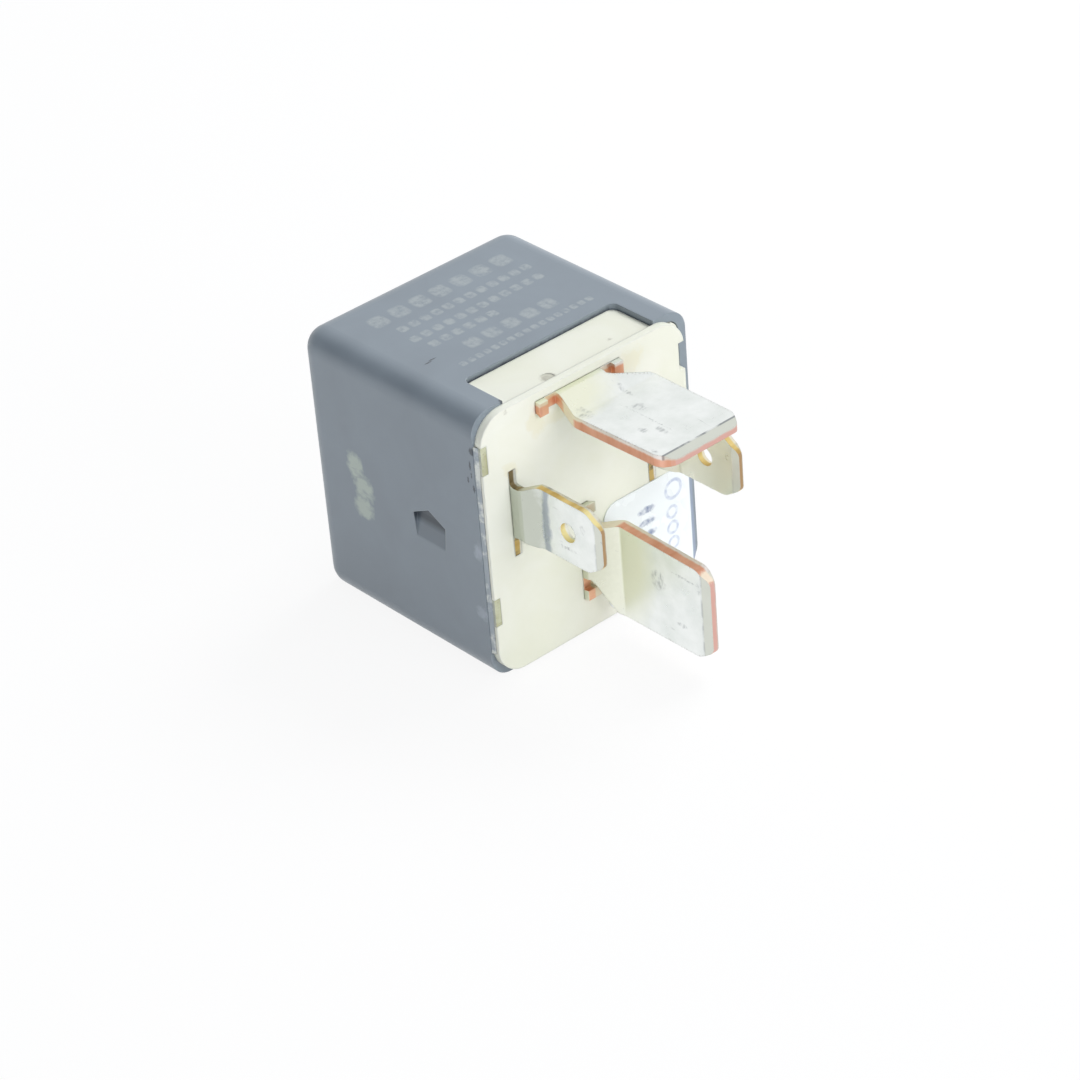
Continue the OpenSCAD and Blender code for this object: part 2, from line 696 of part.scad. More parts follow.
module return_spring() {
    mean_r = (spring_d - spring_wire) / 2;
    per_turn = 12;
    steps = spring_turns * per_turn;
    hook = 0.6;
    rise = (spring_y1 - spring_y0) / steps;
    // full turns whose first and last one wind in to the axis
    coil = [for (i = [0 : steps])
        let (a = 360 * i / per_turn, r = mean_r * min(1, i / per_turn, (steps - i) / per_turn))
        [r * cos(a), spring_y0 + rise * i, spring_z + r * sin(a)]];
    front = lug_y - 0.3;
    back = armature_top + 0.25;
    line = concat(
        [[hook, front, spring_z], [0, front, spring_z], [0, lug_y + lug_t + 0.5, spring_z]], coil,
        [[0, pole_y - 0.6, spring_z], [0, back, spring_z], [hook, back, spring_z]]);
    color("#a9adad") at_rim() tube(line, spring_wire / 2, 6);
}

module braid() {
    color("#b5713a") at_rim() tube([for (i = [0 : 18]) bow(braid_bow, i / 18)], braid_d / 2, 10);
}

module resistor() {
    // turned outline: a round cap at each end, necked down to the body between them
    half = resistor_l / 2;
    r = resistor_d / 2;
    body_r = r - 0.15;
    end = [[0, 0], [0.75, 0], [r, 0.4], [r, 1.5], [body_r, 1.9]];
    color("#6f8f9c") at_rim() translate([0, resistor_y, resistor_z]) rotate([0, 90, 0]) rotate_extrude()
        polygon(concat([for (p = end) [p[0], p[1] - half]],
            [for (i = [len(end) - 1 : -1 : 0]) [end[i][0], half - end[i][1]]]));
}

module resistor_leads() {
    r = lead_d / 2;
    low = coil_tab_low + 1;
    color("#c3c7c7") at_rim() for (side = [-1, 1]) {
        run = lead_x - resistor_l / 2 - slack;
        translate([side > 0 ? resistor_l / 2 + slack : -lead_x, resistor_y, resistor_z])
            rotate([0, 90, 0]) cylinder(r = r, h = run);
        translate([side * lead_x, resistor_y, resistor_z]) sphere(r);
        translate([side * lead_x, resistor_y, low]) cylinder(r = r, h = resistor_z - low);
    }
}

module winding_leads() {
    // the ends of the winding, each out through its slot and over to its terminal's tab
    r = wire_d / 2;
    y = bobbin_y0 - 0.3;
    color("#9c5a2c") at_rim() for (side = [-1, 1]) {
        rod_y(r, y, bobbin_y0 + bobbin_flange + 0.4, side * wire_x, wire_z);
        translate([side * wire_x, y, wire_z]) sphere(r);
        translate([side > 0 ? wire_x : -lead_x - 0.2, y, wire_z])
            rotate([0, 90, 0]) cylinder(r = r, h = lead_x + 0.2 - wire_x);
    }
}

module sealing_resin() {
    // cured resin, flush in the recesses at the left edge and as a fillet along the seam between them
    inner = flange_left + recess_d - slack;
    outer = -cover_w / 2 + 0.08;
    color("#cfcfa8") at_rim() {
        for (z = recess_z)
            span([flange_left, -flange_t + 0.04, z + slack], [inner, -slack, z + recess_l - slack]);
        translate([0, 0, flange_r]) linear_extrude(cover_h - 2 * flange_r)
            polygon([[flange_left - slack, -slack], [outer, -slack], [flange_left - slack, -0.5]]);
    }
}

module label() {
    color("#f6f8f8") at_rim() along_y(-flange_t - label_t, label_t)
        round_rect(flange_right - 0.1 - label_w, flange_inset + 0.3, label_w, label_h, 1.7);
}

cover();
base();
terminal_fixed();
terminal_common();
terminal_coil_left();
terminal_coil_right();
bobbin();
winding();
core();
yoke();
armature();
contact_leaf();
leaf_rivets();
moving_contact();
fixed_contact();
back_stop();
return_spring();
braid();
resistor();
resistor_leads();
winding_leads();
sealing_resin();
label();
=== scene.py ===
"""A plug-in automotive relay lying on its side: grey moulded cover, cream base, four tinned blades."""
import math

import bpy
from mathutils import Matrix, Vector


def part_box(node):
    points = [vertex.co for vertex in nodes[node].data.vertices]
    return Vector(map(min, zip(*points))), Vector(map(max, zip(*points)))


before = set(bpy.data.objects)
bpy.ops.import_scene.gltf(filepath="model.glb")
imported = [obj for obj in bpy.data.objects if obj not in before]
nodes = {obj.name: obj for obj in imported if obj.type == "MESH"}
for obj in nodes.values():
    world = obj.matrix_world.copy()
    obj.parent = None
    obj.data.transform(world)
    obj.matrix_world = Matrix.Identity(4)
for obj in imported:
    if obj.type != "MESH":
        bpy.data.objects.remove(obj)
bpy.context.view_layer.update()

# ----------------------------------------------------------
# Studio: a white sweep under one broad overhead lamp and two soft fill lamps, with the camera
# above the relay's left front corner. Nothing here belongs to the relay.
# ----------------------------------------------------------
mm = 0.001


def linear(hex_text):
    """Turns an sRGB hex value into linear red, green, blue and alpha."""
    parts = [int(hex_text[i:i + 2], 16) / 255 for i in (1, 3, 5)]
    return [c / 12.92 if c <= 0.04045 else ((c + 0.055) / 1.055) ** 2.4 for c in parts] + [1.0]


def add(tree, kind, inputs=None, **settings):
    """Adds a node to tree. Each input is a value to set, or a node or one of its outputs to link."""
    node = tree.nodes.new("ShaderNode" + kind)
    for name, value in settings.items():
        setattr(node, name, value)
    for name, value in (inputs or {}).items():
        if isinstance(value, bpy.types.Node):
            value = next(output for output in value.outputs if output.enabled)
        if isinstance(value, bpy.types.NodeSocket):
            tree.links.new(value, node.inputs[name])
        else:
            node.inputs[name].default_value = value
    return node


def empty_tree(owner):
    """Gives a material or the world an empty node tree."""
    owner.use_nodes = True
    owner.node_tree.nodes.clear()
    return owner.node_tree


view_azimuth = math.radians(-39.57)
view_elevation = math.radians(33.23)
view_roll = math.radians(-4.83)
view_distance = 346.54 * mm
view_target = Vector((-6.16, -4.5, 11.94)) * mm
back = Vector((math.sin(view_azimuth) * math.cos(view_elevation),
               -math.cos(view_azimuth) * math.cos(view_elevation), math.sin(view_elevation)))
level = Vector((math.cos(view_azimuth), math.sin(view_azimuth), 0))
upright = back.cross(level)
right = math.cos(view_roll) * level + math.sin(view_roll) * upright
up = math.cos(view_roll) * upright - math.sin(view_roll) * level
camera_data = bpy.data.cameras.new("camera")
camera_data.lens = 128.1
camera_data.sensor_width = 36
camera_data.clip_start = 0.01
camera = bpy.data.objects.new("camera", camera_data)
camera.matrix_world = Matrix.Translation(view_target + back * view_distance) @ Matrix(
    (right, up, back)).transposed().to_4x4()
bpy.context.scene.collection.objects.link(camera)
bpy.context.scene.camera = camera
bpy.context.scene.view_settings.view_transform = "Standard"

world = bpy.data.worlds.new("white_studio")
bpy.context.scene.world = world
tree = empty_tree(world)
rays = add(tree, "LightPath")
mirror_ray = add(tree, "Math", {0: rays.outputs["Is Glossy Ray"], 1: rays.outputs["Is Transmission Ray"]},
                 operation="MAXIMUM")
seen = add(tree, "Math", {0: rays.outputs["Is Camera Ray"], 1: mirror_ray}, operation="MAXIMUM")
# the unlit gap between the overhead and the left lamp darkens what faces it and shows in its gloss
gap_direction = Vector((-0.66, 0.42, 0.62)).normalized()
around = add(tree, "TexCoord")
toward_gap = add(tree, "VectorMath", {0: around.outputs["Generated"], 1: gap_direction},
                 operation="DOT_PRODUCT")
gap = add(tree, "MapRange", {0: toward_gap, 1: 0.4, 2: 0.85}, interpolation_type="SMOOTHSTEP")
dim = add(tree, "Mix", {0: gap, 6: linear("#f4f7ff"), 7: linear("#3c4046")}, data_type="RGBA")
room = add(tree, "Background", {"Color": dim, "Strength": 0.74})
gap = add(tree, "MapRange", {0: toward_gap, 1: 0.75, 2: 0.93, 3: 0.0, 4: 0.9},
          interpolation_type="SMOOTHSTEP")
gap = add(tree, "Math", {0: gap, 1: rays.outputs["Is Glossy Ray"]}, operation="MULTIPLY")
shade = add(tree, "Mix", {0: gap, 6: linear("#ffffff"), 7: linear("#41474e")}, data_type="RGBA")
white = add(tree, "Background", {"Color": shade, "Strength": 1.0})
both = add(tree, "MixShader", {0: seen, 1: room, 2: white})
add(tree, "OutputWorld", {"Surface": both})

lamps = {
    # name: place and target in mm, side in mm, power in W
    "overhead_lamp": ((280, 20, 370), (0, 0, 10), 220, 1.14),
    "front_lamp": ((60, -420, 190), (0, -5, 12), 260, 0.64),
    "left_lamp": ((-400, -40, 60), (-5, 5, 12), 200, 0.33),
}
for name, (place, target, side, power) in lamps.items():
    lamp_data = bpy.data.lights.new(name, "AREA")
    lamp_data.shape = "SQUARE"
    lamp_data.size = side * mm
    lamp_data.energy = power
    lamp = bpy.data.objects.new(name, lamp_data)
    place = Vector(place) * mm
    aim = (place - Vector(target) * mm).to_track_quat("Z", "Y")
    lamp.matrix_world = Matrix.Translation(place) @ aim.to_matrix().to_4x4()
    lamp.visible_glossy = False
    bpy.context.scene.collection.objects.link(lamp)

bpy.ops.object.select_all(action="DESELECT")
floor_side = 6.0
bpy.ops.mesh.primitive_plane_add(size=floor_side, location=(0, 0, 0))
floor = bpy.context.object
floor.name = "floor"
sweep = bpy.data.materials.new("matt_white_card")
tree = empty_tree(sweep)
rays = add(tree, "LightPath")
# the card glows white, but a tenth of its own shade stays and holds the relay's soft shadow
card = add(tree, "BsdfDiffuse", {"Color": linear("#ffffff")})
glow = add(tree, "Emission", {"Color": linear("#ffffff"), "Strength": 1.0})
seen = add(tree, "Math", {0: rays.outputs["Is Camera Ray"], 1: 0.9}, operation="MULTIPLY")
seen = add(tree, "Math", {0: seen, 1: rays.outputs["Is Glossy Ray"]}, operation="MAXIMUM")
both = add(tree, "MixShader", {0: seen, 1: card, 2: glow})
add(tree, "OutputMaterial", {"Surface": both})
floor.data.materials.append(sweep)


# ----------------------------------------------------------
# Bobbin: one piece of black glass-filled nylon, moulded, with a square flange at each end of its
# barrel. The glass gives it a dull, slightly cloudy skin and rubs pale along the edges.
# ----------------------------------------------------------
def finish_node(name, material):
    """Gives a carried-over solid its material."""
    nodes[name].data.materials.clear()
    nodes[name].data.materials.append(material)


def start_material(name):
    """Starts a material: its node tree and the place on the piece in mm."""
    material = bpy.data.materials.new(name)
    tree = empty_tree(material)
    spot = add(tree, "TexCoord")
    place = add(tree, "VectorMath", {0: spot.outputs["Object"], "Scale": 1 / mm}, operation="SCALE")
    return material, tree, place


def near_edge(tree, radius):
    """Mask that rises to 1 where an edge lies within radius mm, and the normal of that edge rounded."""
    rounded = add(tree, "Bevel", {"Radius": radius * mm}, samples=8)
    flat = add(tree, "NewGeometry")
    lean = add(tree, "VectorMath", {0: rounded, 1: flat.outputs["Normal"]}, operation="DOT_PRODUCT")
    mask = add(tree, "MapRange", {0: lean, 1: 0.995, 2: 0.9})
    return mask, rounded


# nearly all of a noise lies between these two values
noise_low = 0.3
noise_high = 0.7


def finish_surface(tree, colour, rough, height, strength, depth, under=None, **shader):
    """Ends a material; its relief is drawn from height, depth mm high, on top of the normal under."""
    relief = {"Strength": strength, "Distance": depth * mm, "Height": height}
    if under is not None:
        relief["Normal"] = under
    bump = add(tree, "Bump", relief)
    sockets = {name.replace("_", " "): value for name, value in shader.items()}
    skin = add(tree, "BsdfPrincipled", {"Base Color": colour, "Roughness": rough,
                                        "Normal": bump, **sockets})
    add(tree, "OutputMaterial", {"Surface": skin})


material, tree, place = start_material("glass_filled_nylon_moulded")
cloud = add(tree, "TexNoise", {"Vector": place, "Scale": 1 / 2.5, "Detail": 5.0})
# glass fibres of 0.2 mm near the skin, drawn 0.5 mm long so that they show
fibres = add(tree, "Mapping", {"Vector": place, "Scale": (1.0, 0.3, 1.0)})
fibres = add(tree, "TexNoise", {"Vector": fibres, "Scale": 1 / 0.15, "Detail": 2.0})
colour = add(tree, "Mix", {0: cloud, 6: linear("#26292c"), 7: linear("#3b3f43")}, data_type="RGBA")
edge, rounded = near_edge(tree, 0.15)
rub = add(tree, "Math", {0: edge, 1: fibres}, operation="MULTIPLY")
colour = add(tree, "Mix", {0: rub, 6: colour, 7: linear("#64696d")}, data_type="RGBA")
rough = add(tree, "MapRange", {0: cloud, 1: noise_low, 2: noise_high, 3: 0.46, 4: 0.62})
finish_surface(tree, colour, rough, fibres, 0.3, 0.01, rounded, IOR=1.53)
finish_node("bobbin", material)


# ----------------------------------------------------------
# Winding: several hundred turns of enamelled copper wire in even layers, and its two ends, led out
# through the flange. The amber enamel over the copper shines in a fine ribbed sheen.
# ----------------------------------------------------------
def enamelled_wire(name, turn_pitch):
    """Enamelled copper; turn_pitch is the spacing of the turns along Y in mm, or None for a single wire."""
    material, tree, place = start_material(name)
    cloud = add(tree, "TexNoise", {"Vector": place, "Scale": 1 / 1.6, "Detail": 4.0})
    copper = add(tree, "Mix", {0: cloud, 6: linear("#8a4a22"), 7: linear("#b0642e")}, data_type="RGBA")
    if turn_pitch:
        along = add(tree, "SeparateXYZ", {0: place})
        # a turn creeps by one pitch each time round, which this slight lean stands for
        creep = add(tree, "Math", {0: along.outputs[0], 1: turn_pitch / 12, 2: along.outputs[1]},
                    operation="MULTIPLY_ADD")
        turns = add(tree, "Math", {0: creep, 1: 2 * math.pi / turn_pitch}, operation="MULTIPLY")
        ribs = add(tree, "Math", {0: turns}, operation="SINE")
    else:
        ribs = add(tree, "TexNoise", {"Vector": place, "Scale": 1 / 0.2, "Detail": 2.0})
    # painted shade in the grooves between the turns; on a single wire the same mix darkens the troughs of a
    # fine noise
    groove_shade = add(tree, "MapRange", {0: ribs, 1: -1.0, 2: 0.2, 3: 0.55, 4: 0.0})
    colour = add(tree, "Mix", {0: groove_shade, 6: copper, 7: linear("#3c1f10")}, data_type="RGBA")
    rough = add(tree, "MapRange", {0: cloud, 1: noise_low, 2: noise_high, 3: 0.22, 4: 0.36})
    finish_surface(tree, colour, rough,
                   ribs, 0.8, 0.06, Metallic=0.85, Coat_Weight=0.5, Coat_Roughness=0.15)
    return material


finish_node("winding", enamelled_wire("enamelled_copper_wound", 0.3))
finish_node("winding_leads", enamelled_wire("enamelled_copper_wire", None))

# ----------------------------------------------------------
# Core: a turned rod of soft magnetic iron with a flat pole head, zinc plated, its thin neck
# riveted over in the yoke. The lathe leaves fine rings round its axis.
# ----------------------------------------------------------
core_low, core_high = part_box("core")
core_axis = (core_low + core_high) / 2 / mm
material, tree, place = start_material("soft_iron_turned")
off_axis = add(tree, "VectorMath", {0: place, 1: tuple(core_axis)}, operation="SUBTRACT")
off_axis = add(tree, "VectorMath", {0: off_axis, 1: (1.0, 0.0, 1.0)}, operation="MULTIPLY")
reach = add(tree, "VectorMath", {0: off_axis}, operation="LENGTH")
# feed marks of 0.05 mm, drawn 0.15 mm apart so that they show
rings = add(tree, "Math", {0: reach, 1: 2 * math.pi / 0.15}, operation="MULTIPLY")
rings = add(tree, "Math", {0: rings}, operation="SINE")
cloud = add(tree, "TexNoise", {"Vector": place, "Scale": 1 / 1.8, "Detail": 5.0})
colour = add(tree, "Mix", {0: cloud, 6: linear("#8a8f93"), 7: linear("#b4b9bb")}, data_type="RGBA")
edge, rounded = near_edge(tree, 0.12)
colour = add(tree, "Mix", {0: edge, 6: colour, 7: linear("#d2d6d7")}, data_type="RGBA")
rough = add(tree, "MapRange", {0: cloud, 1: noise_low, 2: noise_high, 3: 0.26, 4: 0.42})
finish_surface(tree, colour, rough, rings, 0.25, 0.01, rounded, Metallic=1.0)
finish_node("core", material)


# ----------------------------------------------------------
# Yoke, armature and back stop: stamped and bent from cold-rolled steel and zinc plated. The
# plating is a cloudy blue-grey over rolling lines, thin and bright on the sheared edges.
# ----------------------------------------------------------
def zinc_plated_sheet(name, dark_hex, light_hex, rolled):
    """Zinc-plated sheet steel; rolled is the scale along X, Y and Z that draws the rolling lines out."""
    material, tree, place = start_material(name)
    cloud = add(tree, "TexNoise", {"Vector": place, "Scale": 1 / 2.2, "Detail": 6.0, "Roughness": 0.6})
    lines = add(tree, "Mapping", {"Vector": place, "Scale": rolled})
    lines = add(tree, "TexNoise", {"Vector": lines, "Scale": 1 / 0.18, "Detail": 3.0})
    colour = add(tree, "Mix", {0: cloud, 6: linear(dark_hex), 7: linear(light_hex)}, data_type="RGBA")
    edge, rounded = near_edge(tree, 0.12)
    thin = add(tree, "Math", {0: edge, 1: lines}, operation="MULTIPLY")
    colour = add(tree, "Mix", {0: thin, 6: colour, 7: linear("#dfe2e2")}, data_type="RGBA")
    rough = add(tree, "MapRange", {0: cloud, 1: noise_low, 2: noise_high, 3: 0.28, 4: 0.46})
    finish_surface(tree, colour, rough, lines, 0.3, 0.01, rounded, Metallic=1.0)
    return material


finish_node("yoke", zinc_plated_sheet("zinc_plated_steel_yoke", "#8d9294", "#b6bbbd", (1.0, 0.08, 0.08)))
finish_node("armature", zinc_plated_sheet("zinc_plated_steel_armature", "#868b8e", "#aeb3b5",
                                          (1.0, 1.0, 0.08)))
finish_node("back_stop", zinc_plated_sheet("zinc_plated_steel_strip", "#7f8487", "#a5aaac",
                                           (0.08, 1.0, 1.0)))
finish_node("leaf_rivets", zinc_plated_sheet("zinc_plated_steel_headed", "#a3a7a8", "#cdd0d0",
                                             (1.0, 1.0, 1.0)))

# ----------------------------------------------------------
# Contact leaf: a stamping of thin copper alloy spring strip, riveted to the armature, with a wing
# for the braid. Rolling leaves it smooth and warm, with a browner bloom of oxide in patches.
# ----------------------------------------------------------
material, tree, place = start_material("copper_alloy_spring_strip")
bloom = add(tree, "TexNoise", {"Vector": place, "Scale": 1 / 1.4, "Detail": 5.0, "Roughness": 0.6})
lines = add(tree, "Mapping", {"Vector": place, "Scale": (1.0, 1.0, 0.06)})
lines = add(tree, "TexNoise", {"Vector": lines, "Scale": 1 / 0.15, "Detail": 3.0})
bloomed = add(tree, "MapRange", {0: bloom, 1: 0.35, 2: 0.65})
colour = add(tree, "Mix", {0: bloomed, 6: linear("#a3683a"), 7: linear("#cf8d56")}, data_type="RGBA")
edge, rounded = near_edge(tree, 0.08)
colour = add(tree, "Mix", {0: edge, 6: colour, 7: linear("#e0a673")}, data_type="RGBA")
rough = add(tree, "MapRange", {0: bloom, 1: noise_low, 2: noise_high, 3: 0.24, 4: 0.4})
finish_surface(tree, colour, rough, lines, 0.25, 0.006, rounded, Metallic=1.0)
finish_node("contact_leaf", material)

# ----------------------------------------------------------
# Contacts: two headed rivets of silver alloy, one through the leaf and one through the fixed
# terminal. The faces are pale and satin, pitted and sooty in the middle where the arc strikes.
# ----------------------------------------------------------
contact_low, contact_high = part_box("fixed_contact")
contact_axis = (contact_low + contact_high) / 2 / mm
material, tree, place = start_material("silver_alloy_contact")
off_axis = add(tree, "VectorMath", {0: place, 1: tuple(contact_axis)}, operation="SUBTRACT")
off_axis = add(tree, "VectorMath", {0: off_axis, 1: (1.0, 0.0, 1.0)}, operation="MULTIPLY")
reach = add(tree, "VectorMath", {0: off_axis}, operation="LENGTH")
pits = add(tree, "TexNoise", {"Vector": place, "Scale": 1 / 0.2, "Detail": 4.0, "Roughness": 0.7})
soot = add(tree, "MapRange", {0: reach, 1: 0.3, 2: 1.2, 3: 1.0, 4: 0.0}, interpolation_type="SMOOTHSTEP")
soot = add(tree, "Math", {0: soot, 1: pits}, operation="MULTIPLY")
colour = add(tree, "Mix", {0: pits, 6: linear("#c9cac6"), 7: linear("#eceeea")}, data_type="RGBA")
colour = add(tree, "Mix", {0: soot, 6: colour, 7: linear("#4d4a46")}, data_type="RGBA")
rough = add(tree, "MapRange", {0: soot, 1: 0.0, 2: 0.6, 3: 0.25, 4: 0.6})
rounded = near_edge(tree, 0.1)[1]
finish_surface(tree, colour, rough, pits, 0.4, 0.02, rounded, Metallic=1.0)
finish_node("moving_contact", material)
finish_node("fixed_contact", material)

# ----------------------------------------------------------
# Return spring: hard-drawn spring steel wire, coiled under the yoke's leg and hooked over the
# armature's tail. Drawing leaves long fine lines and an oily grey-brown sheen.
# ----------------------------------------------------------
material, tree, place = start_material("spring_steel_drawn")
sheen = add(tree, "TexNoise", {"Vector": place, "Scale": 1 / 0.9, "Detail": 4.0})
fine = add(tree, "TexNoise", {"Vector": place, "Scale": 1 / 0.08, "Detail": 2.0})
colour = add(tree, "Mix", {0: sheen, 6: linear("#7d7a74"), 7: linear("#b3b5b4")}, data_type="RGBA")
rough = add(tree, "MapRange", {0: sheen, 1: noise_low, 2: noise_high, 3: 0.24, 4: 0.38})
finish_surface(tree, colour, rough, fine, 0.2, 0.006, Metallic=1.0)
finish_node("return_spring", material)

# ----------------------------------------------------------
# Braid: a soft flat-woven rope of fine bare copper strands that carries the current from the
# leaf to the yoke's foot. Its crossing strands glint, with painted shade in the gaps between them.
# ----------------------------------------------------------
strand_pitch = 0.22
material, tree, place = start_material("bare_copper_braided")
axes = add(tree, "SeparateXYZ", {0: place})
weave = None
for lean in (1.0, -1.0):
    across = add(tree, "Math", {0: axes.outputs[2], 1: lean, 2: axes.outputs[1]}, operation="MULTIPLY_ADD")
    across = add(tree, "Math", {0: across, 1: 2 * math.pi / strand_pitch}, operation="MULTIPLY")
    strands = add(tree, "Math", {0: across}, operation="SINE")
    weave = strands if weave is None else add(tree, "Math", {0: weave, 1: strands}, operation="MAXIMUM")
tarnish = add(tree, "TexNoise", {"Vector": place, "Scale": 1 / 1.2, "Detail": 3.0})
colour = add(tree, "Mix", {0: tarnish, 6: linear("#9a5a30"), 7: linear("#d08d5f")}, data_type="RGBA")
# painted shade: the gaps between the strands are painted dark
gap_shade = add(tree, "MapRange", {0: weave, 1: -0.2, 2: 0.7, 3: 0.75, 4: 0.0})
colour = add(tree, "Mix", {0: gap_shade, 6: colour, 7: linear("#3a1e11")}, data_type="RGBA")
rough = add(tree, "MapRange", {0: tarnish, 1: noise_low, 2: noise_high, 3: 0.3, 4: 0.5})
finish_surface(tree, colour, rough, weave, 0.9, 0.05, Metallic=1.0)
finish_node("braid", material)

# ----------------------------------------------------------
# Resistor across the coil: a ceramic rod dipped in thick blue-grey lacquer with four painted
# bands. The lacquer pools smooth and glossy over the end caps.
# ----------------------------------------------------------
bands = ((-1.55, "#3f7a45"), (-0.75, "#2f55a0"), (0.05, "#6b4226"), (1.35, "#b9974a"))
band_width = 0.42
material, tree, place = start_material("lacquered_ceramic")
pool = add(tree, "TexNoise", {"Vector": place, "Scale": 1 / 1.1, "Detail": 3.0})
colour = add(tree, "Mix", {0: pool, 6: linear("#6f95a3"), 7: linear("#8aafbb")}, data_type="RGBA")
axes = add(tree, "SeparateXYZ", {0: place})
# the paint's rim wanders a little, as a brushed ring does
wander = add(tree, "Math", {0: pool, 1: 0.15, 2: axes.outputs[0]}, operation="MULTIPLY_ADD")
for band_x, band_hex in bands:
    off = add(tree, "Math", {0: wander, 1: band_x + 0.075}, operation="SUBTRACT")
    off = add(tree, "Math", {0: off}, operation="ABSOLUTE")
    paint = add(tree, "MapRange", {0: off, 1: band_width / 2 + 0.02, 2: band_width / 2 - 0.02})
    colour = add(tree, "Mix", {0: paint, 6: colour, 7: linear(band_hex)}, data_type="RGBA")
rough = add(tree, "MapRange", {0: pool, 1: noise_low, 2: noise_high, 3: 0.16, 4: 0.3})
finish_surface(tree, colour, rough, pool, 0.3, 0.02, IOR=1.5)
finish_node("resistor", material)

# its leads are drawn copper wire dipped in tin: dull silver with small dents
material, tree, place = start_material("tinned_copper_wire")
dull = add(tree, "TexNoise", {"Vector": place, "Scale": 1 / 0.7, "Detail": 4.0})
dents = add(tree, "TexNoise", {"Vector": place, "Scale": 1 / 0.12, "Detail": 2.0})
colour = add(tree, "Mix", {0: dull, 6: linear("#a9adab"), 7: linear("#dadedc")}, data_type="RGBA")
rough = add(tree, "MapRange", {0: dull, 1: noise_low, 2: noise_high, 3: 0.24, 4: 0.42})
finish_surface(tree, colour, rough, dents, 0.3, 0.01, Metallic=1.0)
finish_node("resistor_leads", material)


# ----------------------------------------------------------
# Terminals: the load pair is 1.2 mm copper strip and the coil pair 0.8 mm brass strip, hot
# tinned and then stamped and bent, so the faces are pale tin and the sheared edges bare metal.
# ----------------------------------------------------------
def spots(tree, place, marks, ragged):
    """Mask that is 1 inside each mark, given as its centre and half sizes in mm; ragged is in mm too."""
    drift = add(tree, "TexNoise", {"Vector": place, "Scale": 1 / ragged, "Detail": 3.0})
    drift = add(tree, "VectorMath", {0: drift.outputs["Color"], 1: (0.5, 0.5, 0.5)}, operation="SUBTRACT")
    drifted = add(tree, "VectorMath", {0: drift, 1: (2 * ragged,) * 3, 2: place}, operation="MULTIPLY_ADD")
    mask = add(tree, "Math", {0: 0.0}, operation="ABSOLUTE")
    for centre, half in marks:
        off = add(tree, "VectorMath", {0: drifted, 1: centre}, operation="SUBTRACT")
        off = add(tree, "VectorMath", {0: off, 1: half}, operation="DIVIDE")
        off = add(tree, "VectorMath", {0: off}, operation="LENGTH")
        inside = add(tree, "MapRange", {0: off, 1: 1.2, 2: 0.7})
        mask = add(tree, "Math", {0: mask, 1: inside}, operation="MAXIMUM")
    return mask


# stations along Y: the cover's rim, and the ends of the blades' sideways step towards the slots
rim_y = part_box("cover")[0].y / mm
step_out_y = rim_y - 3.3
step_in_y = rim_y - 1.3


